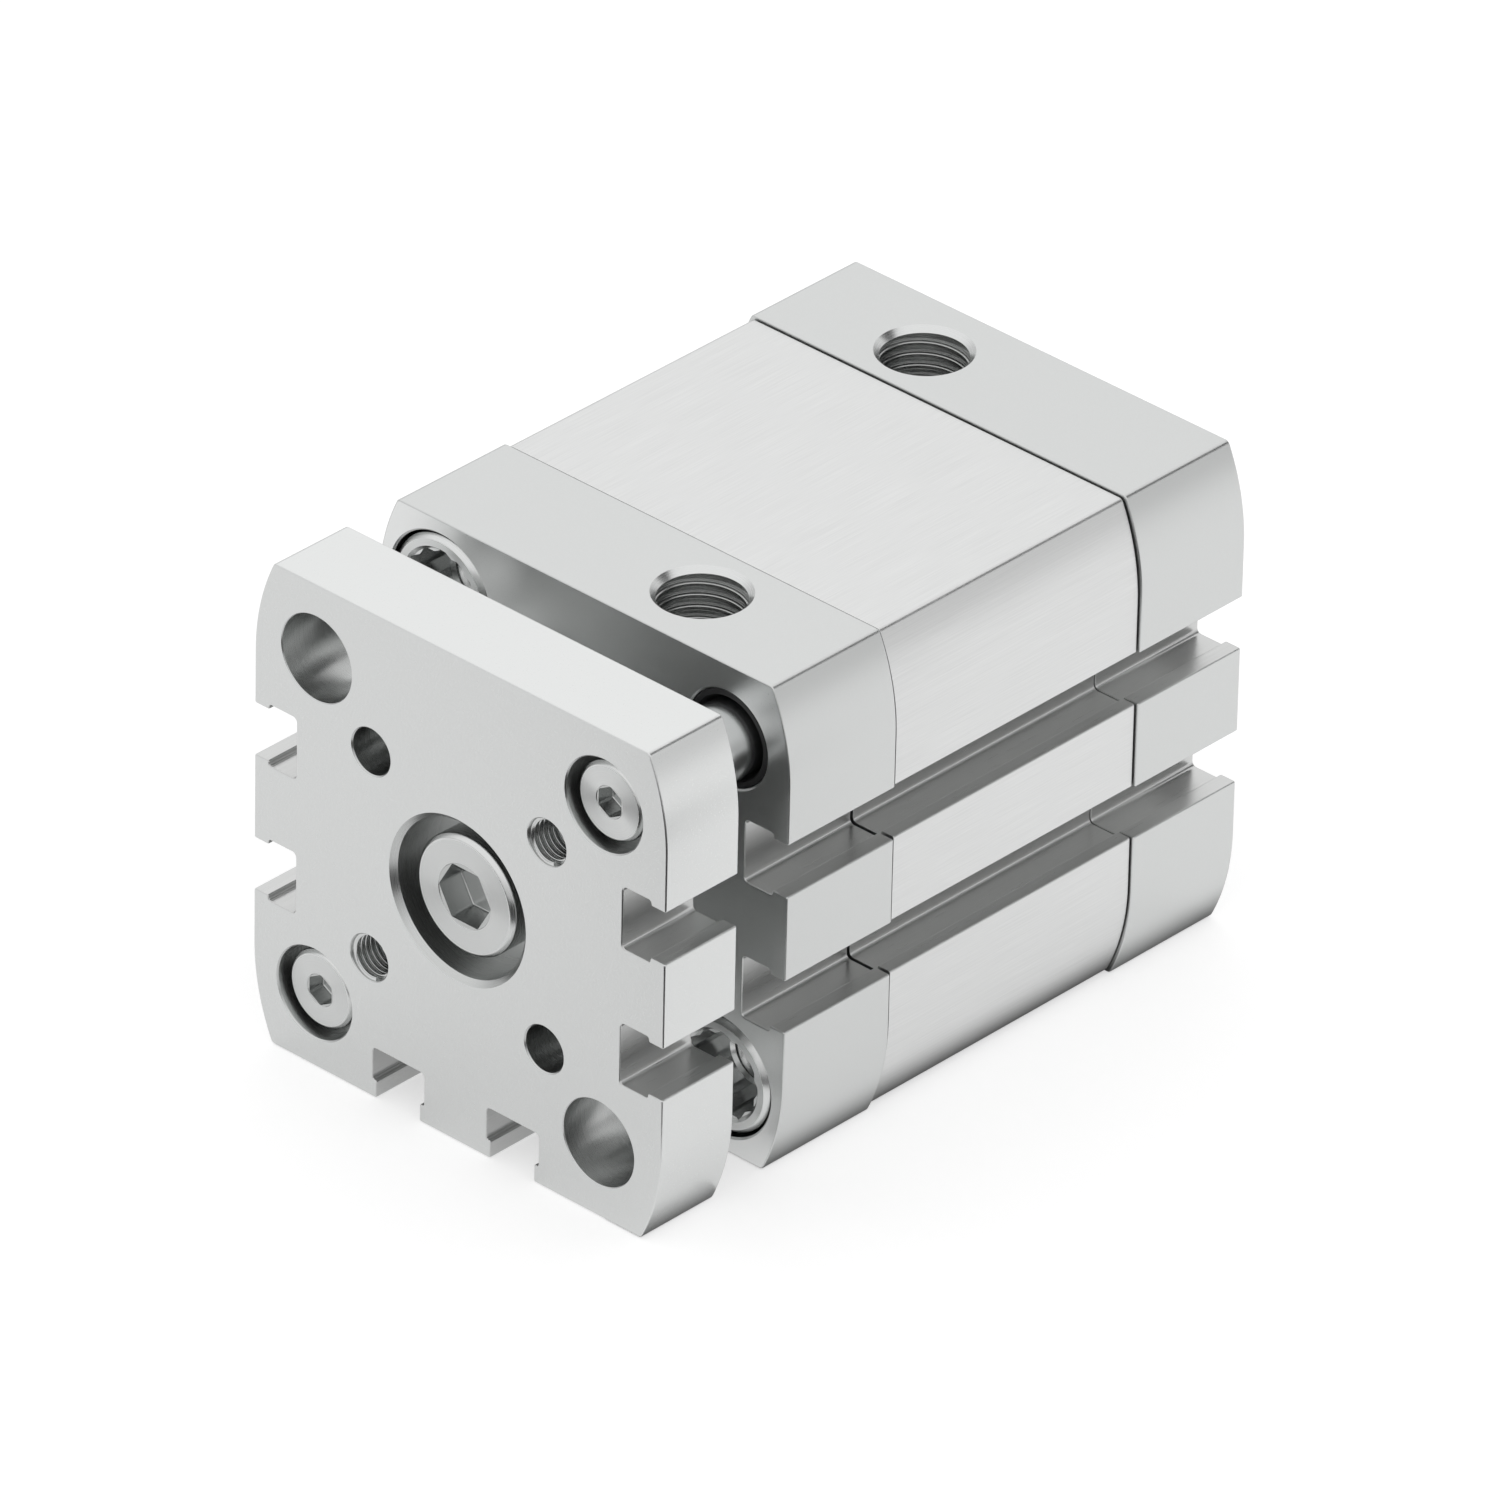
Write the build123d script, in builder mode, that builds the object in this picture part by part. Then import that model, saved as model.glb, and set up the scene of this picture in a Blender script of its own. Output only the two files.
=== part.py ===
from build123d import *
import os
from math import acos, degrees, sqrt

os.makedirs("parts", exist_ok=True)

# Guided compact cylinder: 40 mm bore, 20 mm stroke, double acting, in millimetres.
# The cylinder's axis is Y. The origin is the middle of the rear mounting face, the yoke plate
# is at the front (-Y), and the ports look up (+Z).

# Lengths along the axis
stroke = 20.0
yoke_thickness = 10.0
yoke_gap = 7.0
bearing_cap_length = 15.0
end_cap_length = 15.0
spigot_length = 2.8
cushion_proud = 0.3
stop_gap = 0.1

# Outer form
side_wall = 7.25
corner_run = 2.5
corner_arc_radius = 24.0
corner_break = 0.4
barrel_inset = 0.3
edge_break = 0.3

# T-slots, two on each side and two underneath
slot_corner_spacing = 11.35
slot_opening = 5.8
slot_inner_width = 6.9
slot_lip = 1.95
slot_depth = 5.6
slot_inner_radius = 0.5

# Fits
seat_clearance = 0.05
running_clearance = 0.05
hole_clearance = 0.3
match_tolerance = 0.01

# Piston, seals and rod
piston_bore = 40.0
piston_gap = 0.3
piston_rod_diameter = 12.0
rod_pilot_diameter = 8.0
rod_pilot_length = 5.6
piston_seal_width = 2.0
piston_seal_depth = 3.0
piston_end_land = 0.9
piston_inner_land = 0.35
guide_ring_width = 1.8
guide_ring_thickness = 0.8
magnet_thickness = 3.5
screw_pocket_clearance = 0.6
static_ring_section = 1.6
static_ring_offset = 1.4
cushion_rod_gap = 2.5
cushion_width = 3.0
cushion_depth = 1.2
rod_seal_wall = 3.5
rod_seal_length = 4.2
rod_seal_mouth_gap = 2.0
rod_seal_mouth_length = 0.8
rod_bush_wall = 1.0
rod_bush_length = 8.0
lip_recess = 1.0

# Guide rods at two opposite corners
corner_inset = 8.25
guide_rod_diameter = 8.0
guide_rod_register = 2.5
guide_rod_tail = 12.0
guide_bush_wall = 1.0
guide_bush_length = 10.0
guide_wiper_wall = 1.15
guide_wiper_length = 2.6
guide_wiper_funnel = 0.5
guide_wiper_funnel_length = 1.2
guide_mouth_chamfer = 0.2
rod_end_chamfer = 0.6

# Collar screws at the corners
corner_bore_diameter = 9.3
collar_shank_clearance = 0.1
front_collar_step = 1.6
front_collar_length = 8.0
front_socket_wall = 1.45
rear_collar_step = 0.65
rear_collar_length = 5.0
rear_socket_wall = 1.4
collar_shank_length = 18.0
collar_chamfer = 0.5
socket_chamfer = 0.4
front_socket_depth = 5.0
rear_socket_depth = 2.5
corner_thread_diameter = 6.0
corner_thread_length = 12.0
thread_mouth = 0.4
front_collar_pocket_clearance = 0.35
rear_collar_pocket_clearance = 0.1
collar_passage_clearance = 0.2

# Ports
port_thread_diameter = 9.728
port_depth = 9.0
port_chamfer = 0.2
port_corner_spacing = 11.0
port_face_offset = 8.1
passage_diameter = 4.0
passage_reach = 7.0

# Rear centring bore
centring_diameter = 9.0
centring_depth = 2.1

# Yoke plate holes
small_hole_spacing = 10.37
dowel_diameter = 5.0
plate_thread_diameter = 5.0
access_diameter = 9.3
yoke_counterbore_gap = 2.0
yoke_counterbore_depth = 6.0
yoke_counterbore_chamfer = 0.6
guide_counterbore_gap = 0.75
small_hole_chamfer = 0.15

# Socket screws
yoke_screw_diameter = 8.0
yoke_screw_head_diameter = 13.0
yoke_screw_head_length = 5.0
yoke_screw_key = 6.0
yoke_screw_key_depth = 3.1
yoke_screw_reach = 16.0
guide_screw_diameter = 5.0
guide_screw_head_diameter = 8.5
guide_screw_head_length = 3.5
guide_screw_head_recess = 0.8
guide_screw_key = 3.0
guide_screw_key_depth = 2.0
guide_screw_reach = 12.0
piston_screw_diameter = 5.0
piston_screw_head_diameter = 8.5
piston_screw_head_length = 3.5
piston_screw_key = 3.0
piston_screw_key_depth = 2.0
piston_screw_reach = 10.0
hexagon = 6
head_chamfer = 0.45
thread_relief = 2.0

# Piston length, from its lands, seals and wear band
piston_seal_groove = piston_seal_width + 2 * seat_clearance
guide_ring_groove = guide_ring_width + 2 * seat_clearance
piston_half_length = piston_end_land + piston_seal_groove + piston_inner_land
piston_length = 2 * piston_half_length + guide_ring_groove

# Stations, measured forward from the rear face
end_cap_face = end_cap_length
barrel_length = stroke + piston_length + 2 * (spigot_length + cushion_proud + stop_gap)
barrel_face = end_cap_face + barrel_length
housing_face = barrel_face + bearing_cap_length
yoke_back = housing_face + yoke_gap
yoke_face = yoke_back + yoke_thickness
rear_stop = end_cap_face + spigot_length
front_stop = barrel_face - spigot_length
piston_back = rear_stop + cushion_proud + stop_gap
piston_face = piston_back + piston_length
piston_middle = piston_back + piston_length / 2

# Sizes that follow from the ones above
bore_radius = piston_bore / 2
half_width = bore_radius + side_wall
flat_half = half_width - corner_run
corner = half_width - corner_inset
plate_hole = corner - small_hole_spacing / sqrt(2)
port_side_offset = corner - port_corner_spacing
passage_drop = side_wall + passage_reach
piston_radius = bore_radius - piston_gap
spigot_radius = bore_radius - seat_clearance
rod_radius = piston_rod_diameter / 2
guide_radius = guide_rod_diameter / 2
static_groove_radius = bore_radius - static_ring_section - 2 * seat_clearance
shank_diameter = corner_bore_diameter - 2 * collar_shank_clearance
front_collar_diameter = corner_bore_diameter + 2 * front_collar_step
front_socket_diameter = front_collar_diameter - 2 * front_socket_wall
rear_collar_diameter = corner_bore_diameter + 2 * rear_collar_step
rear_socket_diameter = rear_collar_diameter - 2 * rear_socket_wall
cushion_inner_diameter = piston_rod_diameter + 2 * cushion_rod_gap
cushion_outer_diameter = cushion_inner_diameter + 2 * cushion_width
rod_seal_diameter = piston_rod_diameter + 2 * rod_seal_wall
rod_seal_mouth_diameter = piston_rod_diameter + 2 * rod_seal_mouth_gap
rod_bush_diameter = piston_rod_diameter + 2 * rod_bush_wall
guide_bush_diameter = guide_rod_diameter + 2 * guide_bush_wall
guide_wiper_diameter = guide_rod_diameter + 2 * guide_wiper_wall
yoke_counterbore_diameter = yoke_screw_head_diameter + 2 * yoke_counterbore_gap
guide_counterbore_diameter = guide_screw_head_diameter + 2 * guide_counterbore_gap

# Corners, as seen from the front: guide rods at two, collar screws through the front at two
guide_corners = {"upper": (corner, corner), "lower": (-corner, -corner)}
screw_corners = {"upper": (-corner, corner), "lower": (corner, -corner)}
all_corners = {
    "upper_left": (-corner, corner),
    "upper_right": (corner, corner),
    "lower_left": (-corner, -corner),
    "lower_right": (corner, -corner),
}


def facing_front(distance):
    """Plane across the axis at a station, looking forward."""
    return Plane(origin=(0, -distance, 0), x_dir=(1, 0, 0), z_dir=(0, -1, 0))


def turn(points, x=0.0, z=0.0, mode=Mode.ADD):
    """Revolve (station, radius) points about the line along Y through x and z."""
    with BuildSketch(Plane(origin=(x, 0, z), x_dir=(0, -1, 0), z_dir=(0, 0, 1))) as half:
        with BuildLine():
            Polyline(*points, close=True)
        make_face()
    revolve(half.sketch, axis=Axis((x, 0, z), (0, -1, 0)), mode=mode)


def bore(start, end, diameter, x=0.0, z=0.0):
    """Cut a round hole from one station to another."""
    with BuildSketch(facing_front(start)) as hole:
        with Locations((x, z)):
            Circle(diameter / 2)
    extrude(hole.sketch, amount=end - start, mode=Mode.SUBTRACT)


def prism(section, start, end, mode=Mode.ADD):
    """Run a flat section from one station to another."""
    with BuildSketch(facing_front(start)) as placed:
        add(section)
    extrude(placed.sketch, amount=end - start, mode=mode)


def circles_on(face, diameter):
    """Circular edges of one diameter on a face."""
    rim = face.edges().filter_by(GeomType.CIRCLE)
    return rim.filter_by(lambda edge: abs(2 * edge.radius - diameter) < match_tolerance)


def write(part, name):
    """Label a finished piece and write its file."""
    part.label = name
    export_step(part, f"parts/{name}.step")


def outline(inset):
    """Outer form: flat top and bottom, straight sides, and a long arc between them."""
    side = half_width - inset
    flat = flat_half - inset
    arc_middle = side - corner_arc_radius
    arc_angle = degrees(acos((flat - arc_middle) / corner_arc_radius))
    arc_height = side - sqrt(corner_arc_radius**2 - (flat - arc_middle) ** 2)
    with BuildSketch() as form:
        with BuildLine():
            Line((0, side), (flat, side))
            CenterArc((arc_middle, arc_height), corner_arc_radius, 0, arc_angle)
            Line((side, arc_height), (side, 0))
            mirror(about=Plane.YZ)
            mirror(about=Plane.XZ)
        make_face()
        fillet(form.vertices().group_by(Axis.Y)[-1], radius=corner_break)
        fillet(form.vertices().group_by(Axis.Y)[0], radius=corner_break)
    return form.sketch


def slots():
    """The six T-slot sections, each with a narrow mouth and a wider inner channel."""
    with BuildSketch() as tee:
        with Locations((-slot_lip / 2, 0)):
            Rectangle(slot_lip, slot_opening)
        with Locations((-(slot_lip + slot_depth) / 2, 0)):
            RectangleRounded(slot_depth - slot_lip, slot_inner_width, slot_inner_radius)
    side = half_width
    offset_z = corner - slot_corner_spacing
    with BuildSketch() as sections:
        for height in (-offset_z, offset_z):
            add(tee.sketch.moved(Location((side, height, 0))))
            add(tee.sketch.moved(Location((-side, height, 0), (0, 0, 180))))
            add(tee.sketch.moved(Location((height, -side, 0), (0, 0, -90))))
    return sections.sketch


cap_outline = outline(0.0)
barrel_outline = outline(barrel_inset)
slot_sections = slots()


# Barrel
with BuildPart() as barrel:
    prism(barrel_outline, end_cap_face, barrel_face)
    prism(slot_sections, end_cap_face, barrel_face, mode=Mode.SUBTRACT)
    bore(end_cap_face, barrel_face, piston_bore)
    for x, z in all_corners.values():
        bore(end_cap_face, barrel_face, corner_bore_diameter, x, z)
write(barrel.part, "barrel")


def cap_body(outer, seam, tip, inward):
    """Add a cap's block from its outer face to its seam, with its slots, spigot and ring groove."""
    prism(cap_outline, outer, seam)
    chamfer(edges().filter_by_position(Axis.Y, -outer, -outer), length=edge_break)
    prism(slot_sections, outer, seam, mode=Mode.SUBTRACT)
    turn([(seam, 0), (seam, spigot_radius), (tip, spigot_radius), (tip, 0)])
    middle = seam + inward * static_ring_offset
    back = middle - static_ring_section / 2 - seat_clearance
    front = middle + static_ring_section / 2 + seat_clearance
    turn([(back, static_groove_radius), (back, bore_radius), (front, bore_radius),
          (front, static_groove_radius)], mode=Mode.SUBTRACT)


def cushion_groove(tip, inward):
    """Cut the ring groove of the elastic stop into a spigot's face."""
    inner = cushion_inner_diameter / 2 - seat_clearance
    outer = cushion_outer_diameter / 2 + seat_clearance
    floor = tip + inward * cushion_depth
    turn([(tip, inner), (tip, outer), (floor, outer), (floor, inner)], mode=Mode.SUBTRACT)


def port(side, station, tip):
    """Cut a port from above, with its drop and the passage to the cylinder space."""
    top = half_width
    drop = top - passage_drop
    with Locations((side, -station, top)):
        Hole(port_thread_diameter / 2, depth=port_depth)
        Hole(passage_diameter / 2, depth=passage_drop)
    bore(station, tip, passage_diameter, side, drop)
    chamfer(circles_on(faces().sort_by(Axis.Z)[-1], port_thread_diameter), length=port_chamfer)


# Bearing cap
front_pocket = front_collar_diameter + 2 * front_collar_pocket_clearance
passage_bore = shank_diameter + 2 * collar_passage_clearance
seal_groove_front = housing_face - rod_seal_mouth_length
seal_groove_back = seal_groove_front - rod_seal_length - 2 * seat_clearance
rod_bush_front = front_stop + cushion_depth + rod_bush_length
with BuildPart() as bearing_cap:
    cap_body(housing_face, barrel_face, front_stop, -1)
    cushion_groove(front_stop, 1)
    bore(front_stop, housing_face, piston_rod_diameter + 2 * hole_clearance)
    bore(front_stop, rod_bush_front, rod_bush_diameter + 2 * seat_clearance)
    bore(seal_groove_back, seal_groove_front, rod_seal_diameter + 2 * seat_clearance)
    bore(seal_groove_front, housing_face, rod_seal_mouth_diameter)
    for x, z in guide_corners.values():
        wiper_back = housing_face - guide_wiper_length - seat_clearance
        bush_back = wiper_back - guide_bush_length - seat_clearance
        bore(wiper_back, housing_face, guide_wiper_diameter + 2 * seat_clearance, x, z)
        bore(bush_back, wiper_back, guide_bush_diameter + 2 * seat_clearance, x, z)
        bore(barrel_face, bush_back, guide_rod_diameter + 2 * hole_clearance, x, z)
    for x, z in screw_corners.values():
        bore(housing_face - front_collar_length, housing_face, front_pocket, x, z)
        bore(barrel_face, housing_face, passage_bore, x, z)
    port(port_side_offset, housing_face - port_face_offset, front_stop)
    front = faces().sort_by(Axis.Y)[0]
    wiper_rim = guide_wiper_diameter + 2 * seat_clearance
    chamfer(circles_on(front, front_pocket) + circles_on(front, wiper_rim), length=guide_mouth_chamfer)
write(bearing_cap.part, "bearing_cap")


# End cap
screw_pocket = piston_screw_head_diameter + 2 * screw_pocket_clearance
rear_pocket = rear_collar_diameter + 2 * rear_collar_pocket_clearance
with BuildPart() as end_cap:
    cap_body(0, end_cap_face, rear_stop, 1)
    cushion_groove(rear_stop, -1)
    bore(rear_stop - piston_screw_head_length - hole_clearance, rear_stop, screw_pocket)
    bore(0, centring_depth, centring_diameter)
    for x, z in all_corners.values():
        bore(0, rear_collar_length, rear_pocket, x, z)
        bore(0, end_cap_face, passage_bore, x, z)
    port(-port_side_offset, port_face_offset, rear_stop)
write(end_cap.part, "end_cap")


# Collar screws: a round head with a twelve-point socket and a threaded bore behind it
def collar_screw(face, inward, x, z, head_diameter, head_length, socket_diameter, socket_depth):
    """Add a collar screw whose head face is at a station; inward is +1 forward, -1 backward."""
    head = head_diameter / 2
    shank = shank_diameter / 2
    seat = face + inward * head_length
    tip = face + inward * (head_length + collar_shank_length)
    turn([(face, 0), (face, head - collar_chamfer), (face + inward * collar_chamfer, head),
          (seat, head), (seat, shank), (tip - inward * collar_chamfer, shank),
          (tip, shank - collar_chamfer), (tip, 0)], x, z)
    floor = face + inward * socket_depth
    with BuildSketch(facing_front(face)) as star:
        with Locations((x, z)):
            RegularPolygon(socket_diameter / 2, hexagon)
            RegularPolygon(socket_diameter / 2, hexagon, rotation=180 / hexagon)
    extrude(star.sketch, amount=inward * socket_depth, mode=Mode.SUBTRACT)
    rim = socket_diameter / 2 + socket_chamfer / 2
    turn([(face, 0), (face, rim), (face + inward * socket_chamfer, rim - socket_chamfer),
          (face + inward * socket_chamfer, 0)], x, z, mode=Mode.SUBTRACT)
    thread = corner_thread_diameter / 2
    end = floor + inward * corner_thread_length
    turn([(floor, 0), (floor, thread + thread_mouth), (floor + inward * thread_mouth, thread),
          (end, thread), (end, 0)], x, z, mode=Mode.SUBTRACT)


for place, (x, z) in screw_corners.items():
    with BuildPart() as front_collar_screw:
        collar_screw(housing_face, -1, x, z, front_collar_diameter, front_collar_length,
                     front_socket_diameter, front_socket_depth)
    write(front_collar_screw.part, f"{place}_front_collar_screw")

for place, (x, z) in all_corners.items():
    with BuildPart() as rear_collar_screw:
        collar_screw(0, 1, x, z, rear_collar_diameter, rear_collar_length,
                     rear_socket_diameter, rear_socket_depth)
    write(rear_collar_screw.part, f"{place}_rear_collar_screw")


# Bushes, wipers and seals of the bearing cap
with BuildPart() as piston_rod_bush:
    inside = rod_radius + running_clearance
    outside = rod_bush_diameter / 2
    start = front_stop + cushion_depth
    turn([(start, inside), (start, outside), (rod_bush_front, outside), (rod_bush_front, inside)])
write(piston_rod_bush.part, "piston_rod_bush")

with BuildPart() as piston_rod_seal:
    inside = rod_radius + running_clearance
    outside = rod_seal_diameter / 2
    back = seal_groove_back + seat_clearance
    front = seal_groove_front - seat_clearance
    middle = (inside + outside) / 2
    turn([(back, inside), (back, middle - lip_recess / 2), (back + lip_recess, middle),
          (back, middle + lip_recess / 2), (back, outside), (front, outside),
          (front, inside + lip_recess), (front - lip_recess, inside)])
write(piston_rod_seal.part, "piston_rod_seal")

for place, (x, z) in guide_corners.items():
    inside = guide_radius + running_clearance
    with BuildPart() as guide_bush:
        outside = guide_bush_diameter / 2
        front = housing_face - guide_wiper_length - seat_clearance
        back = front - guide_bush_length
        turn([(back, inside), (back, outside), (front, outside), (front, inside)], x, z)
    write(guide_bush.part, f"{place}_guide_bush")
    with BuildPart() as guide_wiper:
        outside = guide_wiper_diameter / 2
        front = housing_face - guide_mouth_chamfer
        back = housing_face - guide_wiper_length
        turn([(back, inside), (back, outside), (front, outside),
              (front, inside + guide_wiper_funnel),
              (front - guide_wiper_funnel_length, inside)], x, z)
    write(guide_wiper.part, f"{place}_guide_wiper")

for place, middle in {"front": barrel_face - static_ring_offset,
                      "rear": end_cap_face + static_ring_offset}.items():
    with BuildPart() as static_ring:
        ring_radius = static_groove_radius + seat_clearance + static_ring_section / 2
        with BuildSketch(Plane(origin=(0, -middle, 0), x_dir=(0, -1, 0), z_dir=(0, 0, 1))) as cord:
            with Locations((0, ring_radius)):
                Circle(static_ring_section / 2)
        revolve(cord.sketch, axis=Axis.Y)
    write(static_ring.part, f"{place}_cap_o_ring")

for place, (tip, inward) in {"front": (front_stop, 1), "rear": (rear_stop, -1)}.items():
    with BuildPart() as cushion_ring:
        inner = cushion_inner_diameter / 2
        outer = cushion_outer_diameter / 2
        floor = tip + inward * cushion_depth
        proud = tip - inward * cushion_proud
        turn([(floor, inner), (floor, outer), (proud, outer), (proud, inner)])
    write(cushion_ring.part, f"{place}_cushion_ring")


# Yoke plate
with BuildPart() as yoke_plate:
    prism(cap_outline, yoke_back, yoke_face)
    chamfer(edges().filter_by(Axis.Y, reverse=True), length=edge_break)
    prism(slot_sections, yoke_back, yoke_face, mode=Mode.SUBTRACT)
    with Locations(facing_front(yoke_face)):
        CounterBoreHole(yoke_screw_diameter / 2 + hole_clearance, yoke_counterbore_diameter / 2,
                        yoke_counterbore_depth)
        for x, z in guide_corners.values():
            with Locations((x, z)):
                CounterBoreHole(guide_screw_diameter / 2 + hole_clearance,
                                guide_counterbore_diameter / 2,
                                guide_screw_head_recess + guide_screw_head_length)
        for x, z in screw_corners.values():
            with Locations((x, z)):
                Hole(access_diameter / 2)
        with Locations((-plate_hole, plate_hole), (plate_hole, -plate_hole)):
            Hole(dowel_diameter / 2)
        with Locations((plate_hole, plate_hole), (-plate_hole, -plate_hole)):
            Hole(plate_thread_diameter / 2)
    for x, z in guide_corners.values():
        register = guide_rod_diameter + 2 * seat_clearance
        bore(yoke_back, yoke_back + guide_rod_register, register, x, z)
    front = faces().sort_by(Axis.Y)[0]
    chamfer(circles_on(front, yoke_counterbore_diameter), length=yoke_counterbore_chamfer)
    front = faces().sort_by(Axis.Y)[0]
    small_rims = circles_on(front, guide_counterbore_diameter) + circles_on(front, dowel_diameter)
    chamfer(small_rims, length=small_hole_chamfer)
write(yoke_plate.part, "yoke_plate")


# Rods, with a threaded bore in each end that takes a screw
def threaded_bore(mouth, inward, diameter, reach, x=0.0, z=0.0):
    """Cut a threaded bore, drawn at its outer diameter, from a mouth at a station."""
    radius = diameter / 2 + seat_clearance
    end = mouth + inward * (reach + thread_relief)
    turn([(mouth, 0), (mouth, radius + thread_mouth), (mouth + inward * thread_mouth, radius),
          (end, radius), (end, 0)], x, z, mode=Mode.SUBTRACT)


guide_rod_front = yoke_back + guide_rod_register
guide_rod_back = barrel_face - guide_rod_tail
for place, (x, z) in guide_corners.items():
    with BuildPart() as guide_rod:
        turn([(guide_rod_back, 0), (guide_rod_back, guide_radius - rod_end_chamfer),
              (guide_rod_back + rod_end_chamfer, guide_radius), (guide_rod_front, guide_radius),
              (guide_rod_front, 0)], x, z)
        threaded_bore(guide_rod_front, -1, guide_screw_diameter, guide_screw_reach, x, z)
    write(guide_rod.part, f"{place}_guide_rod")

pilot_radius = rod_pilot_diameter / 2
pilot_back = piston_face - rod_pilot_length
with BuildPart() as piston_rod:
    turn([(pilot_back, 0), (pilot_back, pilot_radius), (piston_face, pilot_radius),
          (piston_face, rod_radius), (yoke_back - edge_break, rod_radius),
          (yoke_back, rod_radius - edge_break), (yoke_back, 0)])
    threaded_bore(yoke_back, -1, yoke_screw_diameter, yoke_screw_reach)
    threaded_bore(pilot_back, 1, piston_screw_diameter, piston_screw_reach)
write(piston_rod.part, "piston_rod")


# Socket screws
def socket_screw(seat, outward, diameter, reach, head, head_length, key, key_depth,
                 x=0.0, z=0.0, key_turn=0.0):
    """Add a low-head socket screw whose head sits on a station; outward is towards its head."""
    crown = seat + outward * head_length
    tip = seat - outward * reach
    turn([(crown, 0), (crown, head / 2 - head_chamfer), (crown - outward * head_chamfer, head / 2),
          (seat, head / 2), (seat, diameter / 2), (tip, diameter / 2), (tip, 0)], x, z)
    with BuildSketch(facing_front(crown)) as socket:
        with Locations((x, z)):
            RegularPolygon(key / 2, hexagon, major_radius=False, rotation=key_turn)
    extrude(socket.sketch, amount=-outward * key_depth, mode=Mode.SUBTRACT)


yoke_screw_seat = yoke_face - yoke_counterbore_depth
with BuildPart() as yoke_screw:
    web = yoke_screw_seat - yoke_back
    socket_screw(yoke_screw_seat, 1, yoke_screw_diameter, web + yoke_screw_reach,
                 yoke_screw_head_diameter, yoke_screw_head_length, yoke_screw_key,
                 yoke_screw_key_depth)
write(yoke_screw.part, "yoke_screw")

guide_screw_seat = yoke_face - guide_screw_head_recess - guide_screw_head_length
for place, (x, z) in guide_corners.items():
    with BuildPart() as guide_rod_screw:
        web = guide_screw_seat - guide_rod_front
        socket_screw(guide_screw_seat, 1, guide_screw_diameter, web + guide_screw_reach,
                     guide_screw_head_diameter, guide_screw_head_length, guide_screw_key,
                     guide_screw_key_depth, x, z, key_turn=180 / hexagon)
    write(guide_rod_screw.part, f"{place}_guide_rod_screw")

with BuildPart() as piston_screw:
    web = pilot_back - piston_back
    socket_screw(piston_back, -1, piston_screw_diameter, web + piston_screw_reach,
                 piston_screw_head_diameter, piston_screw_head_length, piston_screw_key,
                 piston_screw_key_depth)
write(piston_screw.part, "piston_screw")


# Piston: two halves clamped on the rod, with the magnet and the wear band between them
seal_floor = piston_radius - piston_seal_depth
magnet_outer = bore_radius - running_clearance - guide_ring_thickness - seat_clearance
magnet_floor = magnet_outer - magnet_thickness - seat_clearance
half_ring = guide_ring_groove / 2


def piston_half(end, inward):
    """Add one half of the piston, from its end face to the middle."""
    land = end + inward * piston_end_land
    web = land + inward * piston_seal_groove
    shoulder = piston_middle - inward * half_ring
    turn([(end, 0), (end, piston_radius), (land, piston_radius), (land, seal_floor),
          (web, seal_floor), (web, piston_radius), (shoulder, piston_radius),
          (shoulder, magnet_floor), (piston_middle, magnet_floor), (piston_middle, 0)])


pilot_bore = rod_pilot_diameter + 2 * seat_clearance
with BuildPart() as piston_front_half:
    piston_half(piston_face, -1)
    bore(piston_middle, piston_face, pilot_bore)
write(piston_front_half.part, "piston_front_half")

with BuildPart() as piston_rear_half:
    piston_half(piston_back, 1)
    bore(piston_back, piston_middle, piston_screw_diameter + 2 * hole_clearance)
    bore(pilot_back, piston_middle, pilot_bore)
write(piston_rear_half.part, "piston_rear_half")

for place, (end, inward) in {"front": (piston_face, -1), "rear": (piston_back, 1)}.items():
    with BuildPart() as piston_seal:
        inner = seal_floor + seat_clearance
        outer = bore_radius - running_clearance
        pressed = end + inward * (piston_end_land + seat_clearance)
        heel = pressed + inward * piston_seal_width
        middle = (inner + outer) / 2
        turn([(pressed, inner), (pressed, middle - lip_recess / 2),
              (pressed + inward * lip_recess, middle), (pressed, middle + lip_recess / 2),
              (pressed, outer), (heel, outer), (heel, inner)])
    write(piston_seal.part, f"piston_{place}_seal")

with BuildPart() as piston_guide_ring:
    inner = bore_radius - running_clearance - guide_ring_thickness
    outer = bore_radius - running_clearance
    back = piston_middle - guide_ring_width / 2
    front = piston_middle + guide_ring_width / 2
    turn([(back, inner), (back, outer), (front, outer), (front, inner)])
write(piston_guide_ring.part, "piston_guide_ring")

with BuildPart() as piston_magnet:
    inner = magnet_floor + seat_clearance
    back = piston_middle - guide_ring_width / 2
    front = piston_middle + guide_ring_width / 2
    turn([(back, inner), (back, magnet_outer), (front, magnet_outer), (front, inner)])
write(piston_magnet.part, "piston_magnet")
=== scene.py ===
import logging
import math
from dataclasses import dataclass, field
from enum import Enum

import bmesh
import bpy
from mathutils import Matrix, Vector


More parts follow.
